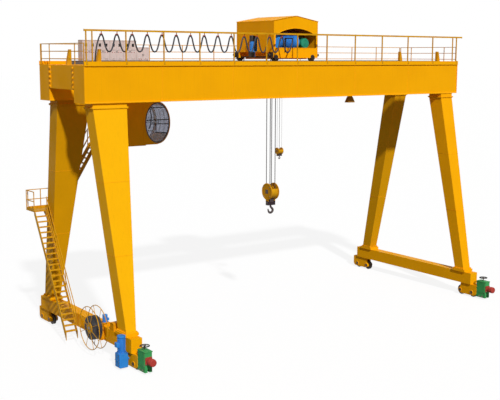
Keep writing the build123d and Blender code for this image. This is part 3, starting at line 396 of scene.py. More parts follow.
def fins(bm, origin, axis, inner, outer, start, stop, count, thick):
    """Cooling fins along a motor's barrel, each a thin plate that stands out from it."""
    axis = Vector(axis).normalized()
    across = axis.orthogonal().normalized()
    for i in range(count):
        out = Matrix.Rotation(math.tau * i / count, 3, axis) @ across
        width = axis.cross(out) * thick
        foot = Vector(origin) + axis * start + out * inner - width / 2
        tip = out * (outer - inner)
        rise = axis * (stop - start)
        slab(bm, (foot, foot + tip + rise * 0.03, foot + tip + rise * 0.97, foot + rise), width)


blue_enamel = enamel("blue_enamel_on_castings", "#3A90E2", "#2C80D0", "#1D5590", 0.32, 360)
dress(blue_enamel, "travel_drive")
drive_at = (-12.6, -4.78, 0.81)
drive_trim = bmesh.new()
fins(drive_trim, drive_at, UP, 0.17, 0.198, 0.07, 0.74, 36, 0.007)
cowl = ((0.2, 0.76), (0.207, 0.78), (0.207, 0.835), (0.196, 0.856), (0.15, 0.862), (0.15, 0.853))
cowl_vent = ((0.1, 0.853), (0.1, 0.862), (0.045, 0.862), (0.045, 0.856), (0, 0.856))
lathe(drive_trim, drive_at, UP, cowl + cowl_vent, 40)
block(drive_trim, (-12.9, -4.9, 1.12), (-12.76, -4.66, 1.36), 0.012)
block(drive_trim, (-12.912, -4.89, 1.13), (-12.896, -4.67, 1.35), 0.006)
block(drive_trim, (-12.85, -5.012, 0.45), (-12.35, -4.548, 0.5), 0.01)
for y in (-4.98, -4.58):
    block(drive_trim, (-12.8, y - 0.03, 0.12), (-12.4, y + 0.03, 0.16), 0.006)
piece(drive_trim, "travel_drive_fins_and_cowl", blue_enamel)
drive_bolts = bmesh.new()
bolt_ring(drive_bolts, (*drive_at[:2], 0.86), UP, 8, 0.218, 0.014, 0.5)
spots = [(-12.84, y, z) for y in (-4.93, -4.63) for z in (0.25, 0.4, 0.56, 0.72)]
bolts(drive_bolts, spots, (-1, 0, 0), 0.016)
piece(drive_bolts, "travel_drive_bolts", zinc)

# Legs
# Tapered box legs of welded plate: a broad pair on the left and a slim pair on the right.
# Bolted through a flange at each end, to the sill's saddle below and the girder's stub above.


def flange_spots(centre, size, height, pitch):
    """Bolt places round a flange, a set distance apart along each of its four sides."""
    places = []
    for axis in (0, 1):
        half_along, half_across = size[axis] / 2, size[1 - axis] / 2 + 0.03
        count = max(2, round(size[axis] / pitch) + 1)
        for i in range(count):
            along = -half_along + size[axis] * i / (count - 1)
            for face in BOTH:
                shift = (along, face * half_across) if axis == 0 else (face * half_across, along)
                places.append((centre[0] + shift[0], centre[1] + shift[1], height))
    return places


# The left front leg has a brighter, yellower coat that paints light on it; the rear legs have a darker coat
# that paints the shade they stand in.
lit_leg_enamel = enamel("painted_light_yellow_enamel_on_plate", "#FFBB0A", "#FCB408", "#C88A08", 0.42, 1600)
shaded_leg_enamel = enamel("painted_shade_yellow_enamel_on_plate", "#E0A006", "#D49606", "#A87208", 0.42, 1600)
dress(lit_leg_enamel, "front_left_leg")
dress(yellow_enamel, "front_right_leg")
dress(shaded_leg_enamel, "rear_left_leg", "rear_right_leg")
leg_bolts = bmesh.new()
leg_seams = bmesh.new()
LEG_FOOT_Z, LEG_HEAD_Z = 1.7, 12.32
left_legs = (-1, (1.84, 0.86), (0.54, 0.85), 0.265)
right_legs = (1, (0.985, 1.01), (0.61, 0.71), 0.095)
for end, head, foot, shift in (left_legs, right_legs):
    for side in BOTH:
        foot_at = (end * END_X, side * 4.25)
        head_at = (end * (END_X - shift), side * 2.01)
        bolts(leg_bolts, flange_spots(foot_at, foot, LEG_FOOT_Z, 0.17), UP, 0.021)
        bolts(leg_bolts, flange_spots(head_at, head, LEG_HEAD_Z + 0.06, 0.2), UP, 0.021)
        bolts(leg_bolts, flange_spots(head_at, head, LEG_HEAD_Z, 0.2), (0, 0, -1), 0.021)
        # A welded splice goes round the leg at a third of its height and at two thirds.
        for share in (0.34, 0.67):
            z = LEG_FOOT_Z + (LEG_HEAD_Z - LEG_FOOT_Z) * share
            mid = [f + (h - f) * share for f, h in zip(foot_at, head_at)]
            half = [(f + (h - f) * share) / 2 + 0.004 for f, h in zip(foot, head)]
            around = ((-1, -1), (1, -1), (1, 1), (-1, 1))
            loop = [(mid[0] + i * half[0], mid[1] + j * half[1]) for i, j in around]
            for a, b in zip(loop, loop[1:] + loop[:1]):
                bead = ((0.008, 0), (0.008, math.dist(a, b)))
                lathe(leg_seams, (*a, z), (b[0] - a[0], b[1] - a[1], 0), bead, 6)
piece(leg_bolts, "leg_flange_bolts", yellow_enamel)
piece(leg_seams, "leg_weld_seams", yellow_enamel)

# Girders and end beams
# Two welded box girders with lipped flanges and a kerb along the outer edge of the walkway.
# Cross beams tie them at both ends, bolted through flanges and faced with a shallow box outside.

dress(yellow_enamel, "front_girder", "rear_girder", "end_beams")
WALK_Z = 14.4
girder_seams = bmesh.new()
for side in BOTH:
    for web in (1.45, 2.51):
        out = 1 if web > 2 else -1
        y = side * web
        for z, up in ((12.62, 1), (14.36, -1)):
            bead = ((-13.1, y, z), (-13.1, y + side * out * 0.014, z), (-13.1, y, z + up * 0.014))
            slab(girder_seams, bead, (25.85, 0, 0))
        # Butt welds where the web plates meet, every 4.3 m along the girder.
        for i in range(1, 6):
            x = -13.14 + 25.93 * i / 6
            lathe(girder_seams, (x, y + side * out * 0.001, 12.62), UP, ((0.009, 0), (0.009, 1.74)), 8)
piece(girder_seams, "girder_weld_seams", yellow_enamel)
beam_bolts = bmesh.new()
for x in (-12.96, 12.11):
    for side in BOTH:
        spots = [(x + shift, side * 1.37, 13.28 + 0.15 * i) for shift in (-0.04, 0.54) for i in range(8)]
        bolts(beam_bolts, spots, (0, -side, 0), 0.026)
facings = bmesh.new()
cleats = bmesh.new()
for face, root in ((-1, -12.95), (1, 12.6)):
    x = root + face * 0.155
    block(facings, (root, -1.4, 13.21), (x, 1.4, 14.385), 0.006)
    cleat_x = x + face * 0.014
    for side in BOTH:
        block(cleats, (x - face * 0.004, side * 1.24, 13.22), (cleat_x, side * 1.4, 14.37), 0.004)
        spots = [(cleat_x, side * 1.32, 13.32 + 0.235 * i) for i in range(5)]
        bolts(beam_bolts, spots, (face, 0, 0), 0.055)
piece(facings, "end_beam_facings", yellow_enamel)
piece(cleats, "end_beam_cleats", yellow_enamel)
piece(beam_bolts, "end_beam_bolts", yellow_enamel)

# Crane rails and end stops
# Rolled steel rails with a bright worn head, held to the girders by bolted clips.
# Upright ochre stops, sloped behind and capped with a head, close each rail's end.

# Rolled steel: brown rust below, and drawn lines along the running direction where it is worn bright.
rail_steel, rail_tree, rail_sockets, rail_place = bare("rolled_rail_steel")
grain = {"Scale": (1000 / 900, 1000 / 15, 1000 / 40)}
drawn = add(rail_tree, "ShaderNodeMapping", grain, {"Vector": rail_place})
worn = mix(rail_tree, noise(rail_tree, drawn.outputs["Vector"], 1000, 4), "#5A4A40", "#8C857E")
feed(rail_tree, rail_sockets, {"Base Color": worn, "Metallic": 0.7, "Roughness": 0.45})
dress(rail_steel, "trolley_rails")
RAIL_Y = 1.65
clips = bmesh.new()
clip_bolts = bmesh.new()
for side in BOTH:
    for i in range(37):
        x = -11.7 + 0.65 * i
        for face in BOTH:
            y = side * RAIL_Y + face * 0.075
            tail, nose = y + face * 0.075, y - face * 0.025
            profile = ((tail, 14.398), (tail, 14.42), (nose, 14.434), (nose, 14.42), (y, 14.42), (y, 14.398))
            slab(clips, [(x - 0.04, across, z) for across, z in profile], (0.08, 0, 0))
            bolts(clip_bolts, [(x, y + face * 0.035, 14.424)], UP, 0.014)
piece(clips, "rail_clips", rail_steel)
piece(clip_bolts, "rail_clip_bolts", zinc)

gold_enamel = enamel("ochre_enamel_on_tube", "#DDA318", "#C98A12", "#8A5E10", 0.36, 420)
dress(gold_enamel, "end_stops")
heads = bmesh.new()
for end in BOTH:
    for side in BOTH:
        y = side * RAIL_Y - 0.09
        corners = ((11.802, 15.0), (11.934, 15.0), (11.9, 15.17), (11.802, 15.17))
        slab(heads, [(end * px, y, pz) for px, pz in corners], (0, 0.18, 0))
piece(heads, "end_stop_heads", gold_enamel)

# Cable reel
# Two thin spoked rings of gold-painted tube with hub discs, turning on a shaft at the sill.
# Black cable lies wound between them; an orange bearing box with a blue motor drives it.

# Rubber sheathing: soft black with a dusty bloom and a low broad sheen.
black_rubber = blotched("black_rubber_sheath", 220, 5, "#17161A", "#38353A", 0, 0.6)
orange_enamel = enamel("orange_enamel_on_plate", "#ECA00C", "#DE940C", "#A06A10", 0.42, 500)
dress(gold_enamel, "cable_reel")
dress(orange_enamel, "reel_drive")
REEL = (-12.97, -2.21, 1.48)
TURN = 0.05
half_turn = [(math.cos(math.pi * i / 5), math.sin(math.pi * i / 5)) for i in range(5)]
wound_outline = []
for layer in range(8):
    wound_outline += [(0.2 + TURN * (layer + (1 - c) / 2), 0.014 - 0.014 * s) for c, s in half_turn]
for row in range(8):
    wound_outline += [(0.582 + 0.018 * s, 0.014 + 0.0478 * (row + (1 - c) / 2)) for c, s in half_turn]
for layer in reversed(range(8)):
    wound_outline += [(0.2 + TURN * (layer + (1 + c) / 2), 0.396 + 0.014 * s) for c, s in half_turn]
wound = bmesh.new()
lathe(wound, REEL, ALONG, wound_outline, 56, closed=True)
wound_cable = piece(wound, "wound_reel_cable", black_rubber, "reel")
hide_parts("reel_cable")
hub_bolts = bmesh.new()
clamps = bmesh.new()
hub_nut = ((0.085, 0), (0.085, 0.012), (0.06, 0.03), (0.03, 0.034), (0, 0.034))
lathe(hub_bolts, (-13.011, REEL[1], REEL[2]), (-1, 0, 0), hub_nut, 24)
for ring_x, face in ((-12.99, -1), (-12.54, 1)):
    bolt_ring(hub_bolts, (ring_x + face * 0.02, *REEL[1:]), (face, 0, 0), 8, 0.225, 0.018)
    for a, b in circle(8, 1, 0.5):
        out, around = Vector((0, a, b)), Vector((0, -b, a))
        foot = Vector((ring_x - 0.006, REEL[1], REEL[2])) + out - around * 0.035
        tip = foot + out * 0.075
        slab(clamps, (foot, foot + around * 0.07, tip + around * 0.045, tip + around * 0.025), (0.012, 0, 0))
piece(hub_bolts, "reel_hub_bolts", zinc, "reel")
piece(clamps, "reel_spoke_gussets", gold_enamel, "reel")
reel_motor = bmesh.new()
motor_at = (-12.12, -2.21, 1.66)
fins(reel_motor, motor_at, UP, 0.108, 0.13, 0.05, 0.28, 28, 0.006)
barrel = ((0.14, 0), (0.14, 0.03), (0.113, 0.035), (0.113, 0.29), (0.132, 0.3), (0.132, 0.365))
lathe(reel_motor, motor_at, UP, barrel + ((0.12, 0.384), (0, 0.384)), 32)
block(reel_motor, (-12.06, -2.36, 1.75), (-11.96, -2.24, 1.88), 0.008)
piece(reel_motor, "reel_motor_barrel", blue_enamel)
reel_covers = bmesh.new()
block(reel_covers, (-12.474, -2.37, 1.2), (-12.456, -2.05, 1.32), 0.006)
block(reel_covers, (-12.29, -3.452, 1.53), (-11.95, -3.436, 1.83), 0.006)
block(reel_covers, (-12.316, -3.43, 1.85), (-11.924, -3.07, 1.876), 0.006)
piece(reel_covers, "reel_box_covers", orange_enamel)
bearing = bmesh.new()
shaft_ring = ((0.075, -0.005), (0.075, 0.03), (0.13, 0.03), (0.14, 0.02), (0.14, -0.005))
lathe(bearing, (-12.46, REEL[1], REEL[2]), (-1, 0, 0), shaft_ring, 32, closed=True)
bolt_ring(bearing, (-12.49, *REEL[1:]), (-1, 0, 0), 6, 0.11, 0.011)
piece(bearing, "reel_shaft_bearing", zinc)

# Stairs, landings and their railings
# Two steep flights of folded treads between plate stringers, with railed landings.
# Each tread has a ribbed nosing, and toe boards edge the landings.

dress(
    gold_enamel,
    "lower_stair_sides",
    "lower_stair_treads",
    "upper_stair_sides",
    "upper_stair_treads",
    "landings",
    "landing_railings",
)
# Four ribs across the tread, and a lip in front of them that turns down.
nosing = [(0.018 * rib - 0.1, 0.018 * rib - 0.09, -0.002, 0.006) for rib in range(4)]
nosing.append((-0.106, -0.098, -0.05, 0.004))
nosings = bmesh.new()
for i in range(1, 23):
    y, z = 0.09 + 3.61 * i / 23, 0.49 + 6.09 * i / 23
    for near, far, low, high in nosing:
        block(nosings, (-13.16, y + near, z + low), (-12.55, y + far, z + high), 0.002)
for i in range(1, 13):
    x, z = -11.59 + 2.2 * i / 13, 6.58 + 3.47 * i / 13
    for near, far, low, high in nosing:
        block(nosings, (x + near, 3.77, z + low), (x + far, 4.38, z + high), 0.002)
piece(nosings, "stair_nosings", gold_enamel)
boards = bmesh.new()
block(boards, (-13.188, 3.78, 6.58), (-13.182, 4.66, 6.7), 0.002)
block(boards, (-13.1, 4.732, 6.58), (-11.6, 4.738, 6.7), 0.002)
block(boards, (-9.38, 4.392, 10.05), (-8.15, 4.398, 10.17), 0.002)
block(boards, (-8.148, 2.7, 10.05), (-8.142, 4.3, 10.17), 0.002)
# Floor plates carry raised bars about 100 mm apart, coarser than the real tread pattern so that they show.
for count, left, near, far, z in ((15, -13.1, 3.74, 4.66, 6.578), (11, -9.3, 2.7, 4.32, 10.048)):
    for i in range(count):
        x = left + 0.105 * i
        block(boards, (x - 0.006, near, z), (x + 0.006, far, z + 0.007), 0.002)
piece(boards, "landing_toe_boards", gold_enamel)
hanger_bolts = bmesh.new()
for x in (-9.34, -8.19):
    bolts(hanger_bolts, [(x, 2.65, 12.68 + 0.11 * i) for i in range(5)], ACROSS, 0.019)
piece(hanger_bolts, "landing_hanger_bolts", zinc)

# Operator's cab
# A folded steel shell with a rounded nose, hung under the rear girder.
# Oval side panes and a bent windscreen sit in black rubber gaskets, with thin steel glazing bars.

dress(yellow_enamel, "cab_shell")
# Tinted float glass: a grey pane with a clean reflection and a light film of dust.
glass, glass_tree, glass_sockets, glass_place = bare("tinted_cab_glass")
film = noise(glass_tree, glass_place, 500, 4)
glass_look = {
    "Base Color": mix(glass_tree, film, "#CCD0DA", "#B4B4C0"),
    "Roughness": span(glass_tree, film, 0, 1, 0.03, 0.12),
    "Transmission Weight": 0.86,
    "IOR": 1.5,
}
feed(glass_tree, glass_sockets, glass_look)
dress(glass, "cab_glass")


def tube(bm, points, normal, sizes, sides=12, twist=0.0, lobe=0.0):
    """A bar along points that lie in one plane; sizes are its half depth across and in the plane."""
    normal = Vector(normal)
    rings = []
    for i, point in enumerate(points):
        ahead = Vector(points[min(i + 1, len(points) - 1)])
        behind = Vector(points[max(i - 1, 0)])
        along = (ahead - behind).normalized()
        other = along.cross(normal)
        half_across, half_in = sizes[min(i, len(sizes) - 1)]
        ring = []
        for k in range(sides):
            angle = math.tau * k / sides + twist * i
            share = 1 - lobe * (k % 2)
            shift = normal * (math.cos(angle) * half_across) + other * (math.sin(angle) * half_in)
            ring.append(bm.verts.new(Vector(point) + shift * share))
        rings.append(ring)
    for low, high in zip(rings, rings[1:]):
        for k in range(sides):
            j = (k + 1) % sides
            bm.faces.new((low[k], low[j], high[j], high[k]))
    bm.faces.new(rings[0][::-1])
    bm.faces.new(rings[-1])


NOSE = (-7.15, 11.27)


def oval(y, half_length, half_height, start, stop, count):
    """Points on the cab's oval seen from the side, between two angles in degrees."""
    turns = [math.radians(start + (stop - start) * i / count) for i in range(count + 1)]
    return [(NOSE[0] + half_length * math.cos(t), y, NOSE[1] + half_height * math.sin(t)) for t in turns]


gaskets = bmesh.new()
bars = bmesh.new()
for y in (0.848, 2.452):
    tube(gaskets, oval(y, 0.728, 1.068, 0, 360, 72), ACROSS, [(0.022, 0.03)], 8)
    # One bar bows down at the window's left third, four cross it, and two short ones stand between them.
    bow = []
    for share in [i / 20 for i in range(21)]:
        bow.append((-7.61 - 0.05 * share + 0.1 * math.sin(math.pi * share), y, 12.08 - 1.13 * share))
    tube(bars, bow, ACROSS, [(0.02, 0.03)], 8)
    for left, right, high, low in (
        (-7.62, -6.68, 12.09, 12.09),
        (-7.87, -6.43, 11.42, 11.42),
        (-7.58, -6.43, 11.21, 11.18),
        (-7.27, -6.53, 10.76, 10.69),
    ):
        tube(bars, [(left, y, high), (right, y, low)], ACROSS, [(0.016, 0.024)], 8)
    for x, high, low in ((-7.1, 11.42, 11.19), (-7.24, 11.2, 10.76)):
        tube(bars, [(x, y, high), (x, y, low)], ACROSS, [(0.016, 0.018)], 8)
low_turn = math.degrees(math.asin((10.62 - NOSE[1]) / 1.15))
high_turn = math.degrees(math.asin((12.17 - NOSE[1]) / 1.15))
for y in (0.965, 2.335):
    tube(gaskets, oval(y, 0.81, 1.15, low_turn, high_turn, 24), ACROSS, [(0.03, 0.012)], 8)
for y in (1.42, 1.88):
    tube(bars, oval(y, 0.806, 1.146, low_turn, high_turn, 24), ACROSS, [(0.018, 0.014)], 8)
for turn in (low_turn, high_turn):
    spot = oval(0, 0.806, 1.146, turn, turn, 1)[0]
    tube(gaskets, [(spot[0], 0.95, spot[2]), (spot[0], 2.35, spot[2])], UP, [(0.024, 0.012)], 8)
piece(gaskets, "cab_window_gaskets", black_rubber)
piece(bars, "cab_glazing_bars", cast_steel)
cab_trim = bmesh.new()
for z in (10.13, 12.41):
    for y, face in ((0.85, -1), (2.45, 1)):
        block(cab_trim, (-9.742, y - face * 0.004, z - 0.03), (-7.15, y + face * 0.01, z + 0.008), 0.003)
for x in (-9.735, -8.9, -8.0):
    block(cab_trim, (x - 0.03, 0.84, 10.13), (x + 0.03, 0.852, 12.4), 0.003)
# The doorway on the rear wall has a raised steel surround.
for x in (-9.345, -8.595):
    block(cab_trim, (x - 0.025, 2.446, 10.15), (x + 0.025, 2.466, 12.17), 0.004)
block(cab_trim, (-9.37, 2.446, 12.12), (-8.57, 2.466, 12.17), 0.004)
block(cab_trim, (-9.75, 0.85, 10.14), (-9.736, 2.45, 10.24), 0.004)
block(cab_trim, (-9.75, 0.85, 12.3), (-9.736, 2.45, 12.4), 0.004)
piece(cab_trim, "cab_wall_trim", yellow_enamel)
cab_bolts = bmesh.new()
for x in (-9.66, -7.23):
    for y in (1.6, 1.9, 2.2):
        for shift in (-0.045, 0.045):
            bolts(cab_bolts, [(x + shift, y - 0.12, 12.43)], UP, 0.016)
piece(cab_bolts, "cab_hanger_bolts", zinc)

# Walkway railings
# Tall square posts on the front girder carry a heavy top rail; lighter railings close the back and ends.
# Every post stands on a bolted base plate, and the front ones are strapped to the kerb outside.

dress(gold_enamel, "front_railing", "rear_railing", "end_railings")
bases = bmesh.new()
base_bolts = bmesh.new()
for i in range(13):
    x = -12.99 + 25.63 * i / 12
    block(bases, (x - 0.09, -2.548, 14.399), (x + 0.09, -2.42, 14.414), 0.003)
    bolts(base_bolts, [(x + s * 0.065, -2.455, 14.414) for s in BOTH], UP, 0.012)
    gusset = ((x - 0.006, -2.495, 14.41), (x - 0.006, -2.43, 14.41), (x - 0.006, -2.495, 14.55))
    slab(bases, gusset, (0.012, 0, 0))
    block(bases, (x - 0.045, -2.594, 14.43), (x + 0.045, -2.578, 14.6), 0.004)
    bolts(base_bolts, [(x, -2.594, z) for z in (14.46, 14.53)], (0, -1, 0), 0.012)
    rear_x = -13.067 + 25.784 * i / 12
    block(bases, (rear_x - 0.06, 2.46, 14.399), (rear_x + 0.06, 2.548, 14.412), 0.003)
for x in (-12.67, 12.3):
    block(bases, (x - 0.0275, -2.547, WALK_Z), (x + 0.0275, -2.493, 16.0), 0.004)
for x in (-13.082, 13.12):
    block(bases, (x - 0.008, -2.552, 15.995), (x + 0.008, -2.486, 16.105), 0.003)
piece(bases, "railing_base_plates", gold_enamel)
piece(base_bolts, "railing_base_bolts", gold_enamel)

# Control cabinets and floodlight
# Folded sheet cabinets in pale grey powder coat, with proud doors, dark meter windows and louvres.
# The floodlight is a brown cast housing under the front girder with a clear lens below.

powder_coat = enamel("grey_powder_coat", "#DCCDC9", "#D2C2BD", "#A8988F", 0.46, 300)
dress(powder_coat, "control_cabinets")
DOOR_Y = 1.993
doors = bmesh.new()
handles = bmesh.new()
knobs = bmesh.new()
for i in range(5):
    x = -10.96 + i * 0.807
    top = WALK_Z + (1.25 if i < 4 else 0.89)
    block(doors, (x - 0.004, 1.99, top - 0.02), (x + 0.799, 2.496, top + 0.022), 0.006)
    block(doors, (x - 0.002, 2.0, WALK_Z), (x + 0.797, 2.012, 14.47), 0.003)
    for half in (0, 1):
        left = x + 0.03 + half * 0.372
        block(doors, (left, 1.992, 14.5), (left + 0.363, 2.014, top - 0.05), 0.005)
        for slat in range(6):
            z = 14.58 + slat * 0.032
            face = ((left + 0.08, DOOR_Y, z), (left + 0.08, 1.978, z), (left + 0.08, DOOR_Y, z + 0.02))
            slab(doors, face, (0.2, 0, 0))
        if i < 4:
            block(handles, (left + 0.11, 1.982, top - 0.32), (left + 0.25, 1.994, top - 0.16), 0.005)
            for lamp_at in (0.1, 0.18, 0.26):
                spot = (left + lamp_at, DOOR_Y, top - 0.5)
                lathe(handles, spot, (0, -1, 0), ((0.016, 0), (0.016, 0.01), (0.01, 0.016), (0, 0.016)), 16)
        for knob in (0.11, 0.25):
            spot = (left + knob, DOOR_Y, top - 0.62)
            lathe(knobs, spot, (0, -1, 0), ((0.022, 0), (0.022, 0.012), (0.014, 0.02), (0, 0.02)), 16)
    grip_z = (14.5 + top) / 2
    for grip_x in (x + 0.365, x + 0.437):
        block(handles, (grip_x - 0.009, 1.976, grip_z - 0.06), (grip_x + 0.009, 1.995, grip_z + 0.06), 0.004)
piece(doors, "cabinet_doors", powder_coat)
piece(handles, "cabinet_windows_and_handles", cast_steel)
carrier_red = enamel("red_oxide_enamel", "#B4462F", "#9C3B29", "#6A291D", 0.42, 120)
piece(knobs, "cabinet_switches", carrier_red)
lamp_coat = enamel("brown_lamp_coat", "#C8923A", "#B07C2C", "#6C4C1E", 0.42, 200)
dress(lamp_coat, "floodlight")
lamp = bmesh.new()
for z in (12.28, 12.33, 12.38, 12.43):
    share = 0.6 + 0.4 * (12.5 - z) / 0.3
    half_x, half_y = 0.26 * share + 0.012, 0.15 * share + 0.012
    block(lamp, (4.24 - half_x, -1.98 - half_y, z - 0.006), (4.24 + half_x, -1.98 + half_y, z + 0.006), 0.003)
block(lamp, (3.97, -2.14, 12.19), (4.51, -1.82, 12.225), 0.008)
piece(lamp, "floodlight_fins_and_rim", lamp_coat)
lens = bmesh.new()
block(lens, (4.0, -2.11, 12.182), (4.48, -1.85, 12.194), 0.004)
piece(lens, "floodlight_lens", glass)

# Festoon cable
# A bundle of rubber-sheathed cable that hangs in even loops from small red carriers on the front rail.
# It rises from the walkway at the left and ends on the trolley's tow arm.

CABLE_Y = -2.45
CABLE_R = 0.038
LOOP = 0.84
FIRST_TOP = -12.15
TOP_Z = 15.85
DROP = 0.83
loop_shape = ((0.10, 0), (0.21, -0.5), (0.37, -0.96), (0.63, -0.96), (0.79, -0.5), (0.90, 0))
route = [(-12.49, WALK_Z), (-12.49, TOP_Z - DROP), (FIRST_TOP - LOOP / 10, TOP_Z)]
for i in range(14):
    for share_x, share_z in loop_shape[: 5 if i == 13 else 6]:
        route.append((FIRST_TOP + LOOP * (i + share_x), TOP_Z + DROP * share_z))
tow_x = FIRST_TOP + LOOP * 13.9
route += [(tow_x, TOP_Z - 0.056 - DROP / 4), (tow_x, TOP_Z - 0.056)]
curve = bpy.data.curves.new("festoon_route", "CURVE")
curve.dimensions = "3D"
curve.resolution_u = 8
spline = curve.splines.new("NURBS")
spline.points.add(len(route) - 1)
for point, (x, z) in zip(spline.points, route):
    point.co = (x, CABLE_Y, z, 1)
spline.order_u = 3
spline.use_endpoint_u = True
guide = bpy.data.objects.new("festoon_route", curve)
bpy.context.scene.collection.objects.link(guide)
line_mesh = bpy.data.meshes.new_from_object(guide)
cable_line = [v.co.copy() for v in line_mesh.vertices]
bpy.data.objects.remove(guide)
bpy.data.meshes.remove(line_mesh)
cable = bmesh.new()
tube(cable, cable_line, ACROSS, [(CABLE_R, CABLE_R)], 14)
festoon = piece(cable, "festoon_cable_bundle", black_rubber, None)
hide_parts("festoon_cable")
CORD_START, CORD_END = (-12.2, CABLE_Y, 15.85), (-0.5, CABLE_Y, 15.85)
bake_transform(festoon)
for i in range(14):
    x = FIRST_TOP + LOOP * i
    carrier = bmesh.new()
    bend = [math.pi * k / 10 for k in range(11)]
    saddle = [(x + 0.07 * math.cos(t), 15.862 + 0.05 * math.sin(t)) for t in bend]
    under = [(px, pz - 0.018) for px, pz in reversed(saddle)]
    slab(carrier, [(px, CABLE_Y - 0.04, pz) for px, pz in saddle + under], (0, 0.08, 0))
    block(carrier, (x - 0.022, -2.484, 15.88), (x + 0.022, -2.472, 16.08), 0.003)
    block(carrier, (x - 0.05, -2.484, 15.87), (x + 0.05, -2.42, 15.9), 0.004)
    roller = ((0, 0), (0.03, 0), (0.03, 0.03), (0.02, 0.034), (0, 0.034))
    lathe(carrier, (x, -2.486, 16.05), ACROSS, roller, 16)
    hung = piece(carrier, f"festoon_carrier_{i + 1:02d}", carrier_red, None)
    # A carrier stays whole: its share of the trolley's travel, the cable's share at its own place, is worked
    # out here but not used.
    share = min(1, max(0, (x - CORD_START[0]) / (CORD_END[0] - CORD_START[0])))
    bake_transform(hung)

# Trolley frame, wheels and hood
# A welded frame on four flanged wheels, under a thin folded hood with an arched front.
# The hood's sheets are seamed over the roof; the tow arm is painted black, and the frame's left ends are
# darkened as painted shade under the hood.


def parted(material, code, axis, limit):
    """Give a finish a second colour on the low side of a limit, where a part was painted by itself or where
    the colour paints shade.
    """
    tree = material.node_tree
    sockets = tree.nodes["Principled BSDF"].inputs
    above = sockets["Base Color"].links[0].from_socket
    place = add(tree, "ShaderNodeTexCoord", {}, {}).outputs["Object"]
    along = add(tree, "ShaderNodeSeparateXYZ", {}, {"Vector": place}).outputs[axis]
    below = span(tree, along, limit - 0.004, limit, 1, 0)
    feed(tree, sockets, {"Base Color": mix(tree, below, above, code)})
    return material


trolley_paint = enamel("yellow_enamel_on_trolley", "#FFB204", "#F8AB04", "#C88A08", 0.42, 1600)
trolley_paint = parted(trolley_paint, "#2C2420", "Y", -1.774)
# The frame's ends left of x = -1.262 are darkened: painted shade under the hood's side.
dress(parted(trolley_paint, "#3A2E26", "X", -1.262), "trolley_frame")
dress(yellow_enamel, "trolley_hood")
dress(cast_steel, "left_trolley_wheelset", "right_trolley_wheelset")
hood_trim = bmesh.new()
RIDGE_X, EAVE_Z, RIDGE_Z = 0.33, 16.8, 17.09
for i in range(7):
    y = -1.77 + 3.54 * i / 6
    wide = 0.02 if 0 < i < 6 else 0.035
    for eave_x in (-1.24, 1.9):
        seam = ((eave_x, EAVE_Z - 0.012), (RIDGE_X, RIDGE_Z - 0.012), (RIDGE_X, RIDGE_Z))
        seam += ((eave_x, EAVE_Z + 0.014),)
        slab(hood_trim, [(px, y - wide, pz) for px, pz in seam], (0, 2 * wide, 0))
for x in (-1.246, 1.89):
    block(hood_trim, (x, -1.78, 16.74), (x + 0.016, 1.78, 16.79), 0.004)
half, spring, rise = 1.47, 16.0, 0.4
radius = (half * half + rise * rise) / (2 * rise)
reach = math.degrees(math.asin(half / radius))
arch = arc((RIDGE_X, spring + rise - radius), radius, 90 + reach, 90 - reach, 32)
edging = [(-1.14, 15.3), (-1.14, 15.7)] + arch + [(1.8, 15.7), (1.8, 15.3)]
for line in (edging, [(-1.16, 15.3), (1.82, 15.3)]):
    tube(hood_trim, [(px, -1.772, pz) for px, pz in line], ACROSS, [(0.012, 0.022)], 8)
for x in (-1.19, -0.3, 0.96, 1.85):
    for z in (15.16, 15.24):
        bolts(hood_trim, [(x, -1.77, z)], (0, -1, 0), 0.014)
for y in (-0.27, 0.47):
    block(hood_trim, (-1.256, y - 0.02, 15.12), (-1.236, y + 0.02, 16.02), 0.004)
block(hood_trim, (-1.256, -0.29, 15.98), (-1.236, 0.49, 16.02), 0.004)
piece(hood_trim, "hood_seams_and_edging", yellow_enamel, "trolley")
trolley_pads = bmesh.new()
for x, face in ((-1.5, -1), (2.0, 1)):
    for side in BOTH:
        rim = ((0.072, -0.06), (0.082, -0.05), (0.082, 0.03), (0.07, 0.044), (0, 0.049))
        lathe(trolley_pads, (x, side * RAIL_Y, 14.92), (face, 0, 0), rim, 28)
piece(trolley_pads, "trolley_buffer_pads", black_rubber, "trolley")
axle_boxes = bmesh.new()
axle_bolts = bmesh.new()
TROLLEY_AXLE_Z = 14.8003
for x in (-1.09, 1.53):
    for side in BOTH:
        hub = (x, side * 1.77, TROLLEY_AXLE_Z)
        lathe(axle_boxes, hub, (0, side, 0), bearing_ring, 32, closed=True)
        bolt_ring(axle_bolts, (x, side * 1.794, TROLLEY_AXLE_Z), (0, side, 0), 6, 0.12, 0.011)
piece(axle_boxes, "trolley_bearing_rings", cast_steel, "trolley")
piece(axle_bolts, "trolley_bearing_bolts", zinc, "trolley")

# Winches and trolley drive
# A large blue motor drives the main drum through a gearbox; a green one turns the smaller drum.
# The upright blue drive on the trolley's left end has a black cowl and a black gear case.

dress(blue_enamel, "main_winch", "trolley_drive")
teal_enamel = enamel("teal_enamel_on_castings", "#2F9A78", "#27866A", "#1A5A48", 0.34, 320)
dress(teal_enamel, "aux_winch")
main_motor = bmesh.new()
main_at = (-0.7, -1.15, 15.645)
fins(main_motor, main_at, ALONG, 0.352, 0.388, 0.12, 1.15, 44, 0.01)
shield = ((0.37, 0.02), (0.398, 0.03), (0.398, 0.1), (0.37, 0.11))
lathe(main_motor, main_at, ALONG, shield, 48, closed=True)
rear_cowl = ((0.36, 1.17), (0.392, 1.18), (0.392, 1.44), (0.36, 1.486), (0.24, 1.492), (0.24, 1.484))
rear_vent = ((0.12, 1.484), (0.12, 1.492), (0, 1.492))
lathe(main_motor, main_at, ALONG, rear_cowl + rear_vent, 48)
block(main_motor, (-0.25, -1.34, 15.97), (0.15, -0.98, 16.13), 0.014)
block(main_motor, (-0.27, -1.36, 16.125), (0.17, -0.96, 16.15), 0.006)
block(main_motor, (-0.7, -1.42, 15.11), (0.5, -0.88, 15.16), 0.008)
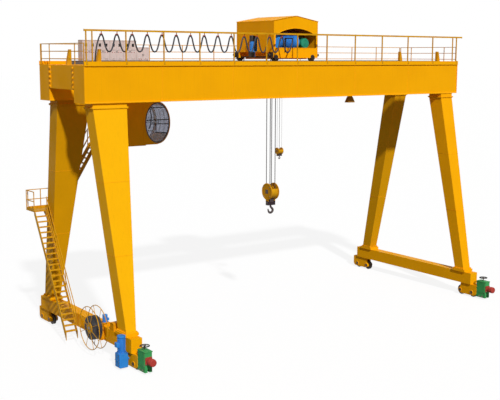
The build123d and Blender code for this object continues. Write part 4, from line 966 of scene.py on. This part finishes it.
piece(main_motor, "main_motor_fins_and_cowl", blue_enamel, "trolley")
aux_motor = bmesh.new()
aux_at = (1.25, -1.45, 15.575)
fins(aux_motor, aux_at, ACROSS, 0.255, 0.282, 0.22, 0.86, 36, 0.008)
face_vent = ((0, -0.012), (0.1, -0.012), (0.1, -0.004), (0.17, -0.004), (0.17, -0.012))
face_cowl = ((0.25, -0.008), (0.284, 0.03), (0.284, 0.19), (0.262, 0.21))
lathe(aux_motor, aux_at, ACROSS, face_vent + face_cowl, 44)
block(aux_motor, (1.12, -1.1, 15.81), (1.38, -0.8, 15.93), 0.01)
piece(aux_motor, "aux_motor_fins_and_cowl", teal_enamel, "trolley")
crab_motor = bmesh.new()
crab_at = (-1.37, 0.1, 15.11)
fins(crab_motor, crab_at, UP, 0.117, 0.13, 0.1, 0.55, 30, 0.006)
lathe(crab_motor, crab_at, UP, ((0.122, 0.0), (0.15, 0.004), (0.15, 0.04), (0.122, 0.05)), 32)
piece(crab_motor, "trolley_drive_fins", blue_enamel, "trolley")
black_case = bmesh.new()
case_cowl = ((0.122, 0.56), (0.134, 0.57), (0.134, 0.87), (0.12, 0.9), (0.05, 0.905), (0.05, 0.9), (0, 0.9))
lathe(black_case, crab_at, UP, case_cowl, 32)
block(black_case, (-1.512, -0.042, 14.78), (-1.241, 0.242, 15.1), 0.02)
piece(black_case, "trolley_drive_cowl_and_case", cast_steel, "trolley")

# Steel strands in dark grease: brown black, with brighter wire where the grease has worn off.
wire_rope = blotched("greased_wire_rope", 90, 4, "#211E1C", "#554F49", 0.6, 0.5)
drums = bmesh.new()
for left, right, axis_z, core, rope in ((-0.66, 0.25, 15.72, 0.22, 0.02), (0.4, 0.8, 15.56, 0.106, 0.009)):
    rows = int((right - left) / (2.3 * rope))
    pitch = (right - left) / rows
    outline = [(core - 0.002, 0)]
    for row in range(rows):
        outline += [(core + 2 * rope * s, pitch * (row + (1 - c) / 2)) for c, s in half_turn]
    outline.append((core - 0.002, right - left))
    lathe(drums, (left, 0, axis_z), ALONG, outline, 36)
piece(drums, "wound_drum_ropes", wire_rope, "trolley")

# Hoist ropes
# Laid wire ropes in four falls each, from the drum down round the block's sheaves and back up.
# The strands' twist is drawn at its real lay, about six and a half rope diameters.


def falls(bm, x, rope_y, low, high, radius):
    """One rope that goes down from the drum, half round a sheave and up again."""
    lay = 13 * radius
    count = int((high - low) / (lay / 6))
    down = [(x, -rope_y, high - (high - low) * i / count) for i in range(count)]
    under = [(x, y, z) for y, z in arc((0, low), rope_y, 180, 360, 30)]
    up = [(x, rope_y, low + (high - low) * i / count) for i in range(1, count + 1)]
    tube(bm, down + under + up, ALONG, [(radius, radius)], 12, twist=math.tau / 6, lobe=0.14)


for name, block_body, x, spread, rope_y, low, high, radius in (
    ("main", "main_block", -0.05, 0.13, 0.24, 7.03, 15.72, 0.025),
    ("aux", "aux_block", 0.57, 0.08, 0.115, 9.375, 15.56, 0.007),
):
    strands = bmesh.new()
    for side in BOTH:
        falls(strands, x + side * spread, rope_y, low, high, radius)
    ropes = piece(strands, f"{name}_rope_falls", wire_rope if name == "main" else zinc, None)
    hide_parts(f"{name}_ropes")
    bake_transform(ropes)

# Hook blocks and hooks
# Ochre blocks of thick cheek plates and a bent guard on one pin, with a dark crosshead below.
# The hooks are forged, deepest at the bowl's foot, and taper to a rounded tip.

# Forged steel with a thin dark paint: near black with a violet cast, worn to brown in patches.
forging, forge_tree, forge_sockets, forge_place = bare("forged_hook_steel")
patches = noise(forge_tree, forge_place, 110, 5)
forge_look = {
    "Base Color": mix(forge_tree, patches, "#332A30", "#51423D"),
    "Normal": bump(forge_tree, patches, 0.5, 0.003),
    "Metallic": 0.35,
    "Roughness": 0.5,
}
feed(forge_tree, forge_sockets, forge_look)
for name, x, axis_z, cheek, half, strap, top, depth, shank, bottom, bowl, bar in (
    ("main", -0.05, 7.03, 0.49, 0.27, 0.11, 6.42, 0.2, 0.055, 5.7, 0.162, 0.064),
    ("aux", 0.57, 9.375, 0.195, 0.17, 0.05, 9.15, 0.075, 0.022, 8.89, 0.054, 0.027),
):
    block_paint = enamel(f"ochre_enamel_on_{name}_block", "#D99A14", "#C88A10", "#8A5E10", 0.36, 420)
    dress(parted(block_paint, "#3A2E33", "Z", top + 0.25 * depth), f"{name}_hook_block")
    fittings = bmesh.new()
    plates = bmesh.new()
    keepers = bmesh.new()
    for face in BOTH:
        outer = x + face * half
        keeper, proud = 0.24 * cheek, face * 0.03 * cheek
        corner = (outer - face * 0.004, -keeper, axis_z - keeper)
        block(keepers, corner, (outer + proud, keeper, axis_z + keeper), 0.01 * cheek)
        bolt_ring(fittings, (outer, 0, axis_z), (face, 0, 0), 4, 0.8 * cheek, 0.05 * cheek, 0.5)
        spots = [(outer, s * strap * 0.55, top - depth * k) for s in BOTH for k in (0.25, 0.75)]
        bolts(fittings, spots, (face, 0, 0), 0.035 * cheek + 0.006)
        edge = 0.024 * cheek
        rim = ((0.97 * cheek, -0.01), (0.97 * cheek, edge), (0.86 * cheek, edge), (0.86 * cheek, -0.01))
        lathe(plates, (outer, 0, axis_z), (face, 0, 0), rim, 56, closed=True)
    # The guard is bent round the sheaves from one side, under them and up the other, open for the ropes.
    bent = arc((0, axis_z), 0.87 * cheek, -205, 25, 40) + arc((0, axis_z), 0.83 * cheek, 25, -205, 40)
    slab(plates, [(x - half + 0.02, y, z) for y, z in bent], (2 * half - 0.04, 0, 0))
    # A dark cover stands on the crosshead over the shank's nut, up to the bent guard; it is open below.
    wide, deep, foot, head = 0.55 * half, 0.21 * cheek + 0.009, top - 0.002, axis_z - 0.872 * cheek
    for side in BOTH:
        block(keepers, (x - wide, side * deep, foot), (x + wide, side * (deep - 0.006), head), 0.001)
        block(keepers, (x + side * wide, -deep, foot), (x + side * (wide - 0.006), deep, head), 0.001)
    block(keepers, (x - wide, -deep, head - 0.006), (x + wide, deep, head), 0.001)
    piece(fittings, f"{name}_block_bolts", zinc, f"{name}_block")
    piece(keepers, f"{name}_block_pin_keepers", forging, f"{name}_block")
    piece(plates, f"{name}_block_rims_and_guard", gold_enamel, f"{name}_block")
    bowl_z = bottom + bar + bowl
    neck_z = top - depth - bar
    # The hook's line goes from the neck over to the bowl, round it, and up to the tip.
    centre_line = []
    thick = []
    for share in [i / 8 for i in range(9)]:
        across = bowl * (1 - math.cos(math.pi * share)) / 2
        centre_line.append((x + across, 0, neck_z + (bowl_z - neck_z) * share))
        thick.append((bar * (0.95 + 0.05 * share), bar * (0.95 + 0.13 * share)))
    for share in [i / 24 for i in range(1, 25)]:
        turn = -math.pi * share
        centre_line.append((x + bowl * math.cos(turn), 0, bowl_z + bowl * math.sin(turn)))
        grown = 1.08 + 0.12 * math.sin(math.pi * share) - 0.42 * share ** 2
        thick.append((bar * (1 - 0.3 * share ** 2), bar * min(grown, 1 + 0.08 * (1 - share))))
    for share in [i / 8 for i in range(1, 9)]:
        centre_line.append((x - bowl * (1 + 0.16 * math.sin(share * 1.2)), 0, bowl_z + 0.5 * bowl * share))
        size = bar * (0.68 - 0.36 * share ** 2)
        thick.append((size, size))
    forged = bmesh.new()
    tube(forged, centre_line, ACROSS, thick, 20)
    nut_z = top + 0.0003
    stem_top = top + 1.2 * shank - 0.01
    stem = ((0, neck_z - 0.4 * bar), (0.7 * shank, neck_z - 0.35 * bar), (shank, neck_z), (shank, stem_top))
    lathe(forged, (x, 0, 0), UP, stem + ((0, stem_top),), 28)
    nut = [(1, 0), (1.62, 0), (1.7, 0.1), (1.7, 1.05), (1.55, 1.2), (0, 1.2)]
    lathe(forged, (x, 0, nut_z), UP, [(r * shank, along * shank) for r, along in nut], 6)
    tipped = piece(forged, f"{name}_forged_hook", forging, f"{name}_hook")
    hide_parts(f"{name}_hook")

# Studio
# A plain pale floor that looks near white, an even white surround and one broad soft key light.
# The camera stands where the photograph's did, left of the front and level with the girders.


def seen_by_eye(tree):
    """One for rays from the camera, in a reflection or through glass, and nought for light that fills."""
    ray = add(tree, "ShaderNodeLightPath", {}, {})
    seen = ray.outputs["Is Camera Ray"]
    for kind in ("Is Glossy Ray", "Is Transmission Ray"):
        most = add(tree, "ShaderNodeMath", {"operation": "MAXIMUM"}, {0: seen, 1: ray.outputs[kind]})
        seen = most.outputs["Value"]
    return seen


floor_mesh = bmesh.new()
bmesh.ops.create_grid(floor_mesh, x_segments=1, y_segments=1, size=600)
floor_data = bpy.data.meshes.new("studio_floor")
floor_mesh.to_mesh(floor_data)
floor_mesh.free()
floor = bpy.data.objects.new("studio_floor", floor_data)
floor.location.z = -0.002
bpy.context.scene.collection.objects.link(floor)
# Pale matt paint: it looks near white but throws little light back up, as dark ground would.
floor_paint, floor_tree, floor_sockets, _ = bare("pale_studio_floor")
seen = seen_by_eye(floor_tree)
floor_tone = mix(floor_tree, seen, "#7A7A7A", "#F2F2F2")
feed(floor_tree, floor_sockets, {"Base Color": floor_tone, "Roughness": 0.9, "Specular IOR Level": 0.1})
glow = add(floor_tree, "ShaderNodeEmission", {"Color": (1, 1, 1, 1), "Strength": 1.06}, {})
matt = floor_tree.nodes["Principled BSDF"].outputs["BSDF"]
parts = {0: span(floor_tree, seen, 0, 1, 0, 0.82), 1: matt, 2: glow.outputs["Emission"]}
floor_mix = add(floor_tree, "ShaderNodeMixShader", {}, parts)
feed(floor_tree, floor_tree.nodes["Material Output"].inputs, {"Surface": floor_mix.outputs["Shader"]})
floor_data.materials.append(floor_paint)

world = bpy.data.worlds.new("white_studio")
bpy.context.scene.world = world
world.use_nodes = True
world_tree = world.node_tree
surround = {"Color": (1, 1, 1, 1), "Strength": span(world_tree, seen_by_eye(world_tree), 0, 1, 0.22, 1)}
feed(world_tree, world_tree.nodes["Background"].inputs, surround)

key = bpy.data.lights.new("soft_key", "SUN")
key.energy = 2.9
key.angle = math.radians(2.5)
key_light = bpy.data.objects.new("soft_key", key)
key_light.rotation_euler = Vector((-0.25, -0.75, 0.61)).to_track_quat("Z", "Y").to_euler()
bpy.context.scene.collection.objects.link(key_light)

yaw, pitch, roll = math.radians(36.111), math.radians(8.672), math.radians(0.20)
ahead = Vector((math.sin(yaw) * math.cos(pitch), math.cos(yaw) * math.cos(pitch), -math.sin(pitch)))
level_right = Vector((math.cos(yaw), -math.sin(yaw), 0))
level_up = level_right.cross(ahead)
right = level_right * math.cos(roll) + level_up * math.sin(roll)
up = level_up * math.cos(roll) - level_right * math.sin(roll)
lens_data = bpy.data.cameras.new("photo_camera")
lens_data.sensor_width = 36
lens_data.lens = 948.8 / 500 * 36
lens_data.clip_end = 2000
camera = bpy.data.objects.new("photo_camera", lens_data)
turned = Matrix((right, up, -ahead)).transposed().to_4x4()
camera.matrix_world = Matrix.Translation((-33.447, -43.740, 14.899)) @ turned
bpy.context.scene.collection.objects.link(camera)
bpy.context.scene.camera = camera
bpy.context.scene.view_settings.view_transform = "Standard"
